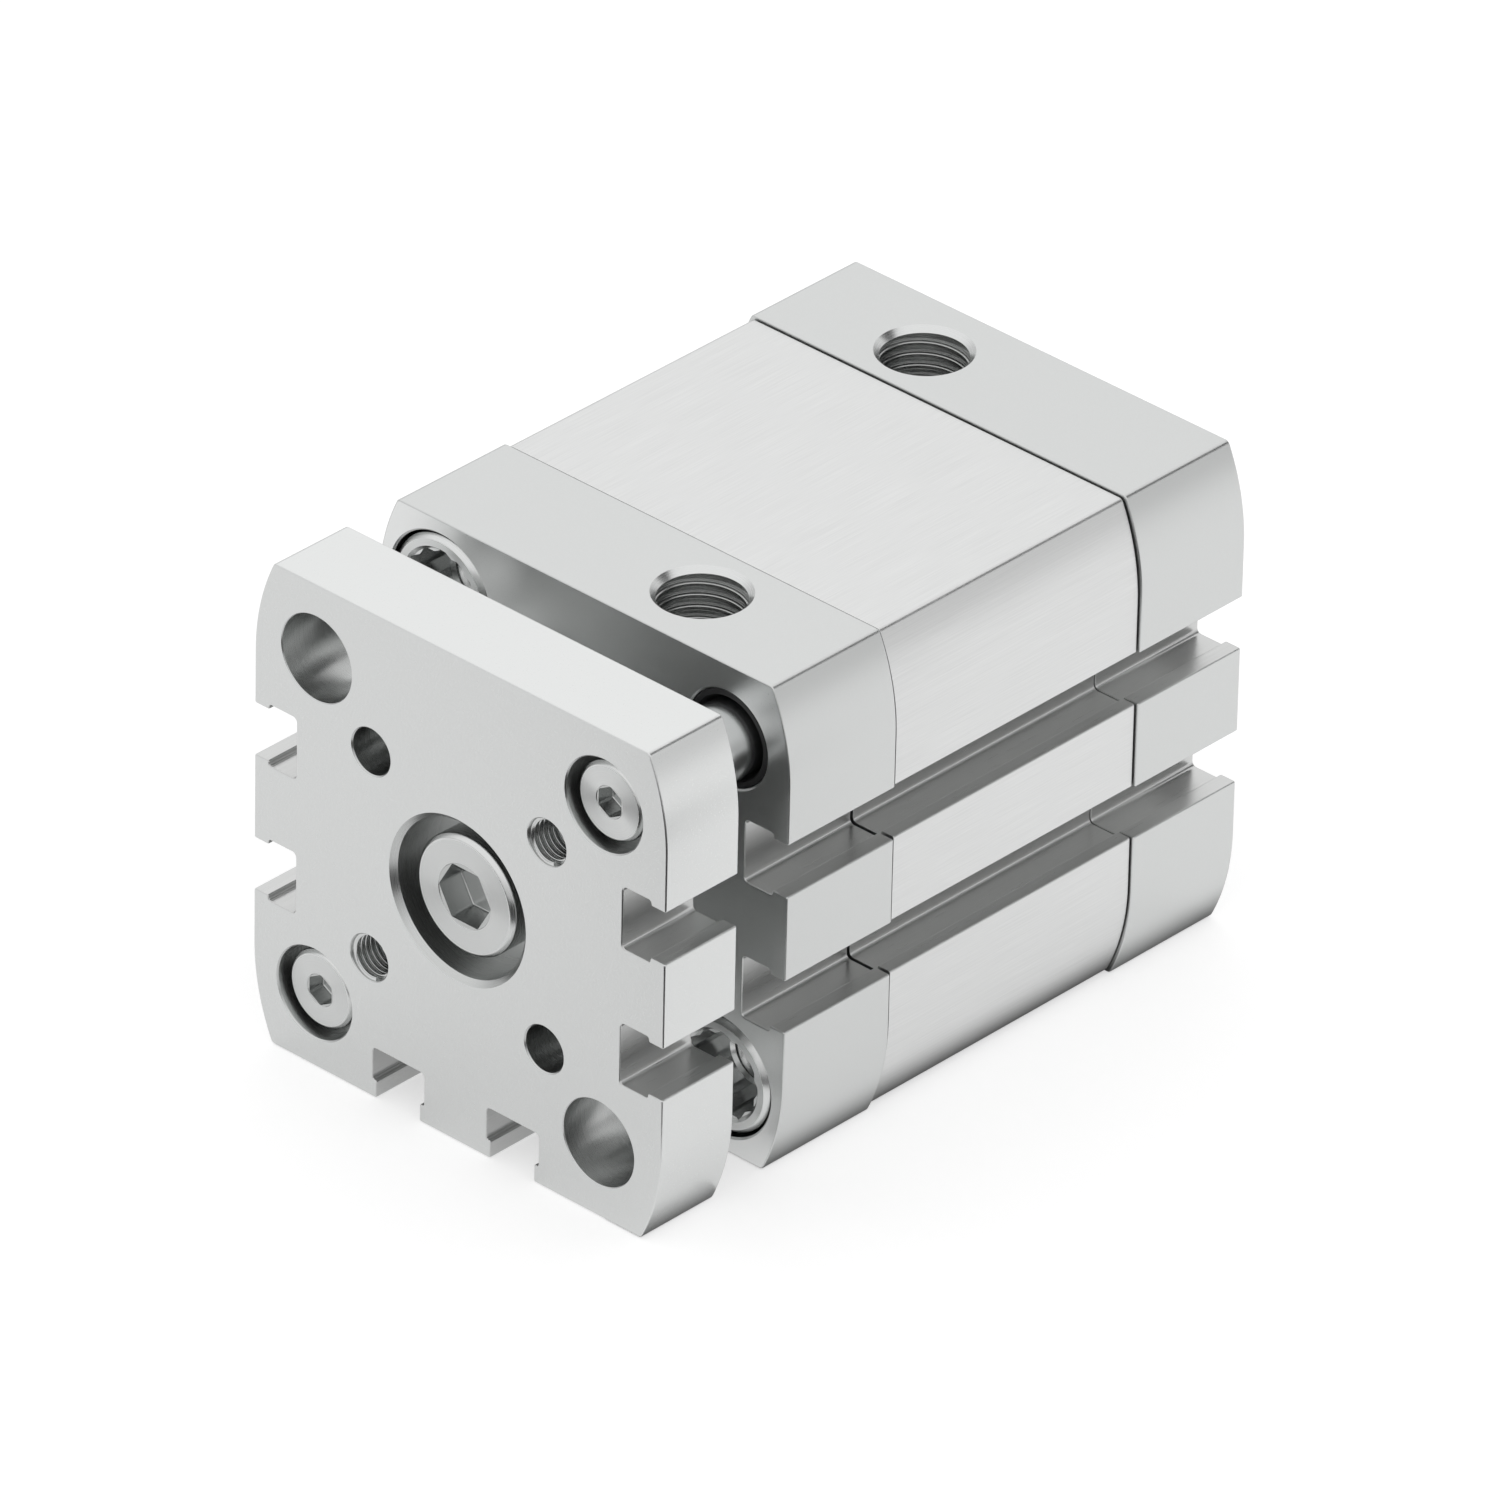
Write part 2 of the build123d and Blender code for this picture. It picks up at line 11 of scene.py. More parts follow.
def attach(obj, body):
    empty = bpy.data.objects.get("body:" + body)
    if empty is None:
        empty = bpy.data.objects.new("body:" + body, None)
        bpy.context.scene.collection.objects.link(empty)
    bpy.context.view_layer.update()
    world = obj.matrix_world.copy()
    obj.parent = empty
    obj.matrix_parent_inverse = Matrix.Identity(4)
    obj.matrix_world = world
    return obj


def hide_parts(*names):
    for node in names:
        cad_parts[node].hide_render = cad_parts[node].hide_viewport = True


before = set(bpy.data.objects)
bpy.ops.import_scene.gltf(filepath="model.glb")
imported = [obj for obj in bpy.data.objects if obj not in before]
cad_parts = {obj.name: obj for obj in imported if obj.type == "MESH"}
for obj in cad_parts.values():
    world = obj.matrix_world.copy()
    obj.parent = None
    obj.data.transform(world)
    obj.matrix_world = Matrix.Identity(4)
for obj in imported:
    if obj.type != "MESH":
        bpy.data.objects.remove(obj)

# Guided compact cylinder, dressed for its picture. Sizes are in millimetres in the classes below
# and become metres when a mesh is made. X is to the right, -Y to the front, Z up.

MM = 0.001
CORNER_STEPS = 4
ROUND_SEGMENTS = 128
SMALL_SEGMENTS = 72

# Points closer than the first, in metres, are one, and places within the second are the same.
MERGE_DISTANCE = 1e-7
SAME_PLACE = 0.001

# The sharpest edge that is shaded smoothly, how much large faces count for in that shading, and
# how squarely a flat face looks along the Y axis.
SMOOTH_ANGLE = math.radians(38.0)
FLAT_WEIGHT = 100
FLAT_ENOUGH = 0.999

# How far a tool stands out of the face that it cuts, and the part of a flat by which pieces and
# tools are turned, so that their flats never lie on each other.
CLEAR = 1.0
BODY_TWIST = 0.25
TOOL_TWIST = 0.6

# The housing's half width, and how far its corner screws and guide rods stand from the middle.
HALF_WIDTH = 27.25
CORNER = 19.0
SIDES = (-1.0, 1.0)
GUIDES = (("upper", 1.0), ("lower", -1.0))

# The span that holds most values of a noise, and the whole span of a mask.
NOISE_SPAN = (0.25, 0.75)
WHOLE_SPAN = (0.0, 1.0)

Point = tuple[float, float]
Corner = tuple[float, ...]
Place = tuple[float, float, float]
Socket = bpy.types.NodeSocket
Links = dict[str | int, Socket]
Values = dict[str | int, object]

log = logging.getLogger("cylinder")


class Axis(Enum):
    """Line that a turned shape stands on."""

    ALONG = "Y"
    UP = "Z"


class Marks(Enum):
    """Pattern that a tool or a process leaves on a surface."""

    GRAIN = "grain field"
    BRUSHED = "brushed field"
    RINGS = "ring field"
    BANDS = "band field"


class Kind(Enum):
    """Type of a node group's input or output."""

    FLOAT = "NodeSocketFloat"
    INTEGER = "NodeSocketInt"
    VECTOR = "NodeSocketVector"
    MATERIAL = "NodeSocketMaterial"
    GEOMETRY = "NodeSocketGeometry"


# Node trees


class Graph:
    """A node tree that short calls put together."""

    def __init__(self, tree: bpy.types.NodeTree) -> None:
        """Take up a tree."""
        self.tree = tree

    def feed(self, target: bpy.types.Node, links: Links | None = None,
             values: Values | None = None) -> None:
        """Set the inputs of a node.

        Args:
            target: the node.
            links: sockets that feed its inputs.
            values: constants for its inputs.
        """
        for name, value in (values or {}).items():
            target.inputs[name].default_value = value
        for name, source in (links or {}).items():
            self.tree.links.new(source, target.inputs[name])

    def node(self, kind: str, links: Links | None = None, values: Values | None = None,
             **settings: object) -> bpy.types.Node:
        """Add a node.

        Args:
            kind: the node's type.
            links: sockets that feed its inputs.
            values: constants for its inputs.
            **settings: its properties.

        Returns:
            The node.
        """
        made = self.tree.nodes.new(kind)
        for name, value in settings.items():
            setattr(made, name, value)
        self.feed(made, links, values)
        return made

    def maths(self, operation: str, *terms: object, kind: str = "ShaderNodeMath",
              result: str | int = 0) -> Socket:
        """Add a step of arithmetic.

        Args:
            operation: what the step does.
            *terms: a socket or a constant for each input in turn.
            kind: the node's type.
            result: the output that is asked for.

        Returns:
            That output.
        """
        links = {place: term for place, term in enumerate(terms) if isinstance(term, Socket)}
        values = {place: term for place, term in enumerate(terms) if place not in links}
        return self.node(kind, links, values, operation=operation).outputs[result]

    def vectors(self, operation: str, *terms: object, result: str = "Vector") -> Socket:
        """Add a step of vector arithmetic."""
        return self.maths(operation, *terms, kind="ShaderNodeVectorMath", result=result)

    def ramp(self, source: Socket, span: Point, target: Point,
             shape: str = "SMOOTHSTEP") -> Socket:
        """Turn the numbers of one span into those of another.

        Args:
            source: the numbers.
            span: where they start and end.
            target: what the two ends become.
            shape: how the numbers between them run.

        Returns:
            The new numbers, which stay within their span.
        """
        values = {"From Min": span[0], "From Max": span[1], "To Min": target[0],
                  "To Max": target[1]}
        return self.node("ShaderNodeMapRange", {"Value": source}, values,
                         interpolation_type=shape).outputs["Result"]

    def socket(self, name: str, kind: Kind, way: str = "INPUT") -> None:
        """Add an input or an output to a group."""
        self.tree.interface.new_socket(name, in_out=way, socket_type=kind.value)


class Look(Graph):
    """The nodes of a new material."""

    def __init__(self, name: str) -> None:
        """Start the material.

        Args:
            name: its name.
        """
        self.material = bpy.data.materials.new(name)
        self.material.use_nodes = True
        super().__init__(self.material.node_tree)
        self.surface = self.tree.nodes["Principled BSDF"]

    def matt(self, tone: float) -> None:
        """Make the surface matt and grey."""
        self.feed(self.surface, values={"Base Color": (tone, tone, tone, 1.0), "Roughness": 1.0,
                                        "Specular IOR Level": 0.0})


class FieldGroup(Graph):
    """A shader node group that gives a height and a mask over a surface."""

    def __init__(self, marks: Marks, **more: Kind) -> None:
        """Start the group.

        Args:
            marks: the pattern that it draws.
            **more: its inputs beside the pitch.
        """
        super().__init__(bpy.data.node_groups.new(marks.value, "ShaderNodeTree"))
        for name, kind in {"Pitch": Kind.FLOAT, **more}.items():
            self.socket(name, kind)
        self.given = self.node("NodeGroupInput").outputs
        self.place = self.node("ShaderNodeTexCoord").outputs["Object"]
        self.output = self.node("NodeGroupOutput")

    def give(self, name: str, kind: Kind, source: Socket) -> None:
        """Send a socket out of the group."""
        self.socket(name, kind, "OUTPUT")
        self.feed(self.output, {name: source})

    def end(self, place: Socket, detail: float, roughness: float) -> bpy.types.NodeTree:
        """Draw noise over the surface and send it out.

        Args:
            place: where in the noise each spot lies, as a vector or a number.
            detail: layers of the noise.
            roughness: how much the finer layers weigh.

        Returns:
            The finished group.
        """
        dimensions, name = ("3D", "Vector") if place.type == "VECTOR" else ("1D", "W")
        noise = self.node("ShaderNodeTexNoise", values={
            "Scale": 1.0, "Detail": detail, "Roughness": roughness}, noise_dimensions=dimensions)
        self.feed(noise, {name: place})
        height = noise.outputs["Fac"]
        self.give("Height", Kind.FLOAT, height)
        self.give("Mask", Kind.FLOAT, self.ramp(height, NOISE_SPAN, WHOLE_SPAN, "LINEAR"))
        return self.tree


def grain_field() -> bpy.types.NodeTree:
    """Fine even grain, as blasting and anodising leave it.

    Returns:
        The group.
    """
    group = FieldGroup(Marks.GRAIN)
    rate = group.maths("DIVIDE", 1.0, group.given["Pitch"])
    scaled = group.node("ShaderNodeVectorMath", {0: group.place, "Scale": rate},
                        operation="SCALE")
    return group.end(scaled.outputs["Vector"], detail=3.0, roughness=0.6)


def brushed_field() -> bpy.types.NodeTree:
    """Fine lines along Y, as brushing an extrusion along its length leaves them.

    Returns:
        The group.
    """
    group = FieldGroup(Marks.BRUSHED, Length=Kind.FLOAT)
    pitch, length = group.given["Pitch"], group.given["Length"]
    spacing = group.node("ShaderNodeCombineXYZ", {"X": pitch, "Y": length, "Z": pitch})
    stretched = group.vectors("DIVIDE", group.place, spacing.outputs["Vector"])
    return group.end(stretched, detail=4.0, roughness=0.65)


def ring_field() -> bpy.types.NodeTree:
    """Fine rings as turning leaves them, about four lines along Y set evenly round the middle.

    Returns:
        The group, which also gives the way outward from the nearest line.
    """
    group = FieldGroup(Marks.RINGS, Centre=Kind.VECTOR)
    folded = group.vectors("ABSOLUTE", group.place)
    offset = group.vectors("SUBTRACT", folded, group.given["Centre"])
    flat = group.vectors("MULTIPLY", offset, (1.0, 0.0, 1.0))
    side = group.vectors("SIGN", group.place)
    group.give("Outward", Kind.VECTOR, group.vectors("MULTIPLY", flat, side))
    radius = group.vectors("LENGTH", flat, result="Value")
    return group.end(group.maths("DIVIDE", radius, group.given["Pitch"]), detail=2.0,
                     roughness=0.5)


def band_field() -> bpy.types.NodeTree:
    """Fine bands across an axis, as boring, threading and grinding round leave them.

    Returns:
        The group.
    """
    group = FieldGroup(Marks.BANDS, Direction=Kind.VECTOR)
    along = group.vectors("DOT_PRODUCT", group.place, group.given["Direction"], result="Value")
    return group.end(group.maths("DIVIDE", along, group.given["Pitch"]), detail=2.0,
                     roughness=0.5)


FIELD_BUILDERS = {Marks.GRAIN: grain_field, Marks.BRUSHED: brushed_field,
                  Marks.RINGS: ring_field, Marks.BANDS: band_field}


def field_group(marks: Marks) -> bpy.types.NodeTree:
    """The shared group of a pattern, built the first time it is asked for."""
    return bpy.data.node_groups.get(marks.value) or FIELD_BUILDERS[marks]()


# Finishes


@dataclass(frozen=True)
class Finish:
    """A surface finish: its colour, its gloss and the marks left by its making.

    The marks have a pitch and a depth, and shade is how much darker the colour is in their
    hollows.
    """

    name: str
    slot: str
    colour: Place
    roughness: float
    marks: Marks
    pitch: float
    depth: float
    metallic: float = 1.0
    shade: float = 0.06
    roughness_spread: float = 0.04
    length: float = 20.0
    centre: Point = (0.0, 0.0)
    direction: Place = (0.0, 1.0, 0.0)
    anisotropy: float = 0.0

    def material(self) -> bpy.types.Material:
        """The material of this finish, built once."""
        return bpy.data.materials.get(self.name) or self.build()

    def build(self) -> bpy.types.Material:
        """Build the material from the shared pattern group.

        Returns:
            The new material.
        """
        look = Look(self.name)
        x, z = self.centre
        own = {Marks.GRAIN: {}, Marks.BRUSHED: {"Length": self.length * MM},
               Marks.RINGS: {"Centre": (x * MM, 0.0, z * MM)},
               Marks.BANDS: {"Direction": self.direction}}[self.marks]
        pattern = look.node("ShaderNodeGroup", values={"Pitch": self.pitch * MM, **own},
                            node_tree=field_group(self.marks)).outputs
        darker = [part * (1.0 - self.shade) for part in self.colour]
        tint = look.node("ShaderNodeMix", {"Factor": pattern["Mask"]},
                         {"A": (*darker, 1.0), "B": (*self.colour, 1.0)}, data_type="RGBA")
        gloss = look.ramp(pattern["Mask"], WHOLE_SPAN,
                          (self.roughness + self.roughness_spread,
                           self.roughness - self.roughness_spread), "LINEAR")
        relief = look.node("ShaderNodeBump", {"Height": pattern["Height"]},
                           {"Distance": self.depth * MM})
        look.feed(look.surface, {"Base Color": tint.outputs["Result"], "Roughness": gloss,
                                 "Normal": relief.outputs["Normal"]},
                  {"Metallic": self.metallic})
        if self.anisotropy:
            look.feed(look.surface, {"Tangent": pattern["Outward"]},
                      {"Anisotropic": self.anisotropy})
        return look.material


PLATE = Finish("milled plate", "plate_aluminium", (0.74, 0.75, 0.745), 0.30, Marks.GRAIN, 0.12,
               0.0005, shade=0.03)
CAP = Finish("anodised cap", "cap_aluminium", (0.645, 0.655, 0.65), 0.32, Marks.GRAIN, 0.10,
             0.0006, shade=0.03)
# Painted light: a paler copy of the aluminium, laid on the bearing cap's front, which lies in the
# plate's shade, and on the plate's back, which that front mirrors.
PAINTED_LIGHT_FACE = Finish("aluminium with painted light", "cap_aluminium", (0.84, 0.85, 0.845), 0.30, Marks.GRAIN, 0.10,
               0.0006, shade=0.03)
BARREL = Finish("brushed barrel", "barrel_aluminium", (0.735, 0.74, 0.737), 0.33, Marks.BRUSHED,
                0.11, 0.0025, shade=0.10, roughness_spread=0.05, length=9.0)
# Painted shade: a darker aluminium for the inner faces of the slots, where shade falls.
SHADED_SLOT = Finish("slot with painted shade", "barrel_aluminium", (0.63, 0.635, 0.63), 0.30, Marks.BRUSHED, 0.10,
              0.0015, length=12.0)
# Painted shade: a darker copy of the aluminium for the walls of holes.
SHADED_BORE = Finish("bored aluminium with painted shade", "plate_aluminium", (0.60, 0.61, 0.605), 0.28, Marks.BANDS, 0.05,
              0.0005)
PORT_BORE = Finish("bored port", "cap_aluminium", (0.74, 0.75, 0.745), 0.26, Marks.BANDS, 0.02,
                   0.0002, shade=0.03, direction=(0.0, 0.0, 1.0))
# Painted shade: a darker copy of the cap's aluminium for the thread deep in the port.
SHADED_PORT_THREAD = Finish("port thread with painted shade", "cap_aluminium", (0.46, 0.465, 0.46), 0.24, Marks.BANDS,
                     0.05, 0.0008, direction=(0.0, 0.0, 1.0))
THREAD = Finish("cut thread", "screw_steel", (0.70, 0.71, 0.705), 0.20, Marks.GRAIN, 0.05, 0.001)
# Painted shade: a darker copy of the screw steel for the walls of the sockets.
SHADED_SOCKET = Finish("socket with painted shade", "screw_steel", (0.55, 0.56, 0.555), 0.24, Marks.GRAIN, 0.1,
                0.0006)
SCREW_SIDE = Finish("turned side", "screw_steel", (0.74, 0.75, 0.745), 0.26, Marks.BANDS, 0.06,
                    0.0012)
CENTRE_FACE = Finish("turned centre face", "screw_steel", (0.73, 0.74, 0.735), 0.36, Marks.RINGS,
                     0.055, 0.0010, shade=0.10, roughness_spread=0.03, anisotropy=0.9)
CORNER_FACE = Finish("turned corner face", "screw_steel", (0.76, 0.77, 0.765), 0.36, Marks.RINGS,
                     0.055, 0.0010, shade=0.10, roughness_spread=0.03, centre=(CORNER, CORNER),
                     anisotropy=0.9)
ROD = Finish("ground rod", "rod_steel", (0.62, 0.63, 0.63), 0.20, Marks.BANDS, 0.05, 0.0006)
PISTON = Finish("turned piston", "cap_aluminium", (0.72, 0.73, 0.725), 0.28, Marks.RINGS, 0.08,
                0.0016)
RUBBER = Finish("seal rubber", "seal_rubber", (0.022, 0.022, 0.023), 0.48, Marks.GRAIN, 0.15,
                0.004, metallic=0.0, shade=0.25)
ELASTOMER = Finish("cushion elastomer", "cushion_elastomer", (0.07, 0.16, 0.27), 0.5, Marks.GRAIN,
                   0.2, 0.004, metallic=0.0)
BEARING = Finish("sintered bearing", "bearing_metal", (0.60, 0.43, 0.24), 0.42, Marks.GRAIN, 0.12,
                 0.004, shade=0.3)
WEAR_BAND = Finish("wear band", "wear_band", (0.05, 0.05, 0.055), 0.45, Marks.BANDS, 0.1, 0.002,
                   metallic=0.0)
FERRITE = Finish("ferrite", "magnet_ferrite", (0.05, 0.046, 0.044), 0.6, Marks.GRAIN, 0.15, 0.005,
                 metallic=0.0, shade=0.3)


# Mesh making


def link_object(name: str, content: bpy.types.ID) -> bpy.types.Object:
    """Put a mesh, a lamp or a lens in the scene.

    Args:
        name: the object's name.
        content: what it holds.

    Returns:
        The object, at the origin.
    """
    made = bpy.data.objects.new(name, content)
    bpy.context.scene.collection.objects.link(made)
    return made


def welded(mesh: bpy.types.Mesh, outward: bool = False) -> None:
    """Merge the points of a mesh that lie in one place.

    Args:
        mesh: the mesh.
        outward: whether its faces are also made to point outwards.
    """
    work = bmesh.new()
    work.from_mesh(mesh)
    bmesh.ops.remove_doubles(work, verts=work.verts, dist=MERGE_DISTANCE)
    if outward:
        bmesh.ops.recalc_face_normals(work, faces=work.faces)
    work.to_mesh(mesh)
    work.free()


def new_object(name: str, points: list[Vector], faces: list[list[int]],
               material: bpy.types.Material) -> bpy.types.Object:
    """Make an object from points in millimetres and faces.

    Args:
        name: the object's name.
        points: the vertices, in millimetres.
        faces: vertex numbers of each face.
        material: the material of its surface.

    Returns:
        The object, with its faces pointing outwards.
    """
    mesh = bpy.data.meshes.new(name)
    mesh.from_pydata([point * MM for point in points], [], faces)
    welded(mesh, outward=True)
    mesh.materials.append(material)
    return link_object(name, mesh)


def rounded(corners: list[Corner], steps: int = CORNER_STEPS) -> list[Point]:
    """Round the corners of a closed outline, each by its own radius.

    Args:
        corners: (u, v) of each sharp corner and (u, v, radius) of each round one, in order.
        steps: straight runs in each rounded corner.

    Returns:
        The points of the rounded outline.
    """
    points: list[Point] = []
    for index, (u, v, *radius) in enumerate(corners):
        if not radius:
            points.append((u, v))
            continue
        here = Vector((u, v))
        before = (Vector(corners[index - 1][:2]) - here).normalized()
        after = (Vector(corners[(index + 1) % len(corners)][:2]) - here).normalized()
        half = before.angle(after) / 2.0
        centre = here + (before + after).normalized() * (radius[0] / math.sin(half))
        reach = radius[0] / math.tan(half)
        start = here + before * reach - centre
        turn = start.angle_signed(here + after * reach - centre)
        for step in range(steps + 1):
            spoke = start.copy()
            spoke.rotate(Matrix.Rotation(-turn * step / steps, 2))
            points.append(tuple(centre + spoke))
    return points


def solid(corners: list[Corner]) -> list[Corner]:
    """Close an outline over the axis, from its first place to its last."""
    return [(corners[0][0], 0.0), *corners, (corners[-1][0], 0.0)]


def turned(name: str, corners: list[Corner], finish: Finish, centre: Point = (0.0, 0.0),
           axis: Axis = Axis.ALONG, segments: int = ROUND_SEGMENTS,
           twist: float = BODY_TWIST) -> bpy.types.Object:
    """Turn a closed outline about an axis.

    Args:
        name: the object's name.
        corners: (place along the axis, radius) of the outline, with a third number where the
            corner is round.
        finish: the finish of the surface.
        centre: where the axis stands, as X and Z along Y, or X and Y upwards.
        axis: the direction of the axis.
        segments: flats in a full turn.
        twist: part of a flat by which the flats are turned.

    Returns:
        The turned object.
    """
    points: list[Vector] = []
    rings: list[list[int]] = []
    for along, radius in rounded(corners):
        count = 1 if radius <= 0.0 else segments
        rings.append(list(range(len(points), len(points) + count)))
        for step in range(count):
            angle = math.tau * (step + twist) / segments
            u, v = centre[0] + radius * math.cos(angle), centre[1] + radius * math.sin(angle)
            points.append(Vector((u, along, v) if axis is Axis.ALONG else (u, v, along)))
    faces: list[list[int]] = []
    for ring, following in zip(rings, rings[1:] + rings[:1]):
        for near in range(segments):
            far = (near + 1) % segments
            if len(ring) > 1 and len(following) > 1:
                faces.append([ring[near], ring[far], following[far], following[near]])
            elif len(ring) > 1:
                faces.append([ring[near], ring[far], following[0]])
            elif len(following) > 1:
                faces.append([ring[0], following[far], following[near]])
    return new_object(name, points, faces, finish.material())


def turned_tool(corners: list[Corner], finish: Finish,
                centre: Point = (0.0, 0.0)) -> bpy.types.Object:
    """A solid turned tool along Y."""
    return turned("turned tool", solid(corners), finish, centre, twist=TOOL_TWIST)


def straight_tool(loop: list[Point], front: float, back: float,
                  finish: Finish) -> bpy.types.Object:
    """A prism along Y.

    Args:
        loop: its outline in X and Z.
        front: its front end.
        back: its back end.
        finish: the finish that it leaves.

    Returns:
        The prism.
    """
    count = len(loop)
    points = [Vector((x, y, z)) for y in (front, back) for x, z in loop]
    faces = [list(range(count)), list(range(2 * count - 1, count - 1, -1))]
    faces += [[i, (i + 1) % count, count + (i + 1) % count, count + i] for i in range(count)]
    return new_object("straight tool", points, faces, finish.material())


def settled(piece: bpy.types.Object) -> bpy.types.Object:
    """Turn a piece's modifiers into plain mesh and take them off.

    Args:
        piece: the piece.

    Returns:
        The same piece.
    """
    view = bpy.context.evaluated_depsgraph_get()
    mesh = bpy.data.meshes.new_from_object(piece.evaluated_get(view), depsgraph=view)
    mesh.name = piece.name
    piece.modifiers.clear()
    old, piece.data = piece.data, mesh
    bpy.data.meshes.remove(old)
    return piece


def discard(pieces: list[bpy.types.Object]) -> None:
    """Remove pieces and their meshes.

    Args:
        pieces: the pieces.
    """
    for piece in pieces:
        mesh = piece.data
        bpy.data.objects.remove(piece)
        bpy.data.meshes.remove(mesh)


def combined(piece: bpy.types.Object, others: list[bpy.types.Object],
             operation: str = "DIFFERENCE") -> None:
    """Cut other shapes from a piece, or add them, and remove them from the scene.

    Args:
        piece: the piece that is kept, as plain mesh.
        others: the shapes that act on it.
        operation: the boolean operation.
    """
    for other in others:
        change = piece.modifiers.new("change", "BOOLEAN")
        change.operation = operation
        change.solver = "EXACT"
        change.object = other
        change.material_mode = "TRANSFER"
    settled(piece)
    discard(others)


def joined(name: str, pieces: list[bpy.types.Object]) -> bpy.types.Object:
    """Join pieces into one mesh, each part with its own material.

    Args:
        name: the new object's name.
        pieces: the pieces, which are removed.

    Returns:
        The new object.
    """
    work = bmesh.new()
    materials: list[bpy.types.Material] = []
    for piece in pieces:
        first = len(work.faces)
        work.from_mesh(piece.data)
        work.faces.ensure_lookup_table()
        own = list(piece.data.materials)
        for face in work.faces[first:]:
            material = own[face.material_index]
            if material not in materials:
                materials.append(material)
            face.material_index = materials.index(material)
    mesh = bpy.data.meshes.new(name)
    work.to_mesh(mesh)
    work.free()
    for material in materials:
        mesh.materials.append(material)
    discard(pieces)
    return link_object(name, mesh)


def dress_face(piece: bpy.types.Object, place: float, finish: Finish) -> None:
    """Give the flat faces at a place on the Y axis another finish.

    Args:
        piece: the piece.
        place: the place.
        finish: the finish.
    """
    materials = piece.data.materials
    materials.append(finish.material())
    for face in piece.data.polygons:
        flat = abs(face.normal.y) > FLAT_ENOUGH
        if flat and abs(face.center.y / MM - place) < SAME_PLACE:
            face.material_index = len(materials) - 1


def placed(piece: bpy.types.Object, body: str, finish: Finish, *nodes: str) -> None:
    """Shade a finished piece and let it ride on its body in place of its solids.

    Its small edges are shaded smoothly and its flats stay flat.

    Args:
        piece: the piece.
        body: the body that it rides on.
        finish: not used.
        *nodes: the solids that it stands for, or nothing for the one of its own name.
    """
    welded(piece.data)
    piece.data.shade_smooth()
    piece.data.set_sharp_from_angle(angle=SMOOTH_ANGLE)
    weighting = piece.modifiers.new("flats", "WEIGHTED_NORMAL")
    weighting.keep_sharp = True
    weighting.weight = FLAT_WEIGHT
    settled(piece)
    nodes = nodes or (piece.name.replace(" ", "_"),)
    piece.name = piece.name.replace(" ", "-")
    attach(piece, body)
    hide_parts(*nodes)
    log.info("%s: %d faces, rides on %s", piece.name, len(piece.data.polygons), body)


# Geometry node trees


class ShapeTree(Graph):
    """A geometry node tree with named inputs, run once to give a plain mesh."""

    def __init__(self, name: str, **sizes: Kind) -> None:
        """Start the tree.

        Args:
            name: the tree's name.
            **sizes: its inputs beside the geometry and the material.
        """
        super().__init__(bpy.data.node_groups.new(name, "GeometryNodeTree"))
        inputs = {"Geometry": Kind.GEOMETRY, **sizes, "Material": Kind.MATERIAL}
        for label, kind in inputs.items():
            self.socket(label, kind)
        self.socket("Geometry", Kind.GEOMETRY, "OUTPUT")
        self.given = self.node("NodeGroupInput").outputs
        self.output = self.node("NodeGroupOutput")

    def end(self, geometry: Socket, selection: Socket | None = None) -> None:
        """Close the tree with its real instances and its material.

        Args:
            geometry: what the tree has made.
            selection: the faces that take the material, or None for all of them.
        """
        real = self.node("GeometryNodeRealizeInstances", {"Geometry": geometry})
        links = {"Geometry": real.outputs["Geometry"], "Material": self.given["Material"]}
        if selection:
            links["Selection"] = selection
        dressed = self.node("GeometryNodeSetMaterial", links)
        self.feed(self.output, {"Geometry": dressed.outputs["Geometry"]})

    def run(self, piece: bpy.types.Object, material: bpy.types.Material, **sizes: float) -> None:
        """Give a piece the shape that the tree makes of it.

        Args:
            piece: the object that the tree starts from, and which becomes plain mesh.
            material: its material.
            **sizes: value of each named input.
        """
        inputs = {**sizes, "Material": material}
        change = piece.modifiers.new(self.tree.name, "NODES")
        change.node_group = self.tree
        for item in self.tree.interface.items_tree:
            if item.in_out == "INPUT" and item.name in inputs:
                change[item.identifier] = inputs[item.name]
        piece.update_tag()
        settled(piece)


def drawn_bar_tree() -> ShapeTree:
    """A tree that draws a flat section forward into a closed bar.

    Returns:
        The tree.
    """
    tree = ShapeTree("drawn bar", Length=Kind.FLOAT)
    section = tree.given["Geometry"]
    back = tree.node("GeometryNodeFlipFaces", {"Mesh": section})
    forward = tree.maths("MULTIPLY", tree.given["Length"], -1.0)
    offset = tree.node("ShaderNodeCombineXYZ", {"Y": forward})
    drawn = tree.node("GeometryNodeExtrudeMesh", {
        "Mesh": section, "Offset": offset.outputs["Vector"]},
        {"Offset Scale": 1.0, "Individual": False})
    both = tree.node("GeometryNodeJoinGeometry", {"Geometry": back.outputs["Mesh"]})
    tree.feed(both, {"Geometry": drawn.outputs["Mesh"]})
    closed = tree.node("GeometryNodeMergeByDistance", {"Geometry": both.outputs["Geometry"]},
                       {"Distance": MERGE_DISTANCE})
    tree.end(closed.outputs["Geometry"])
    return tree


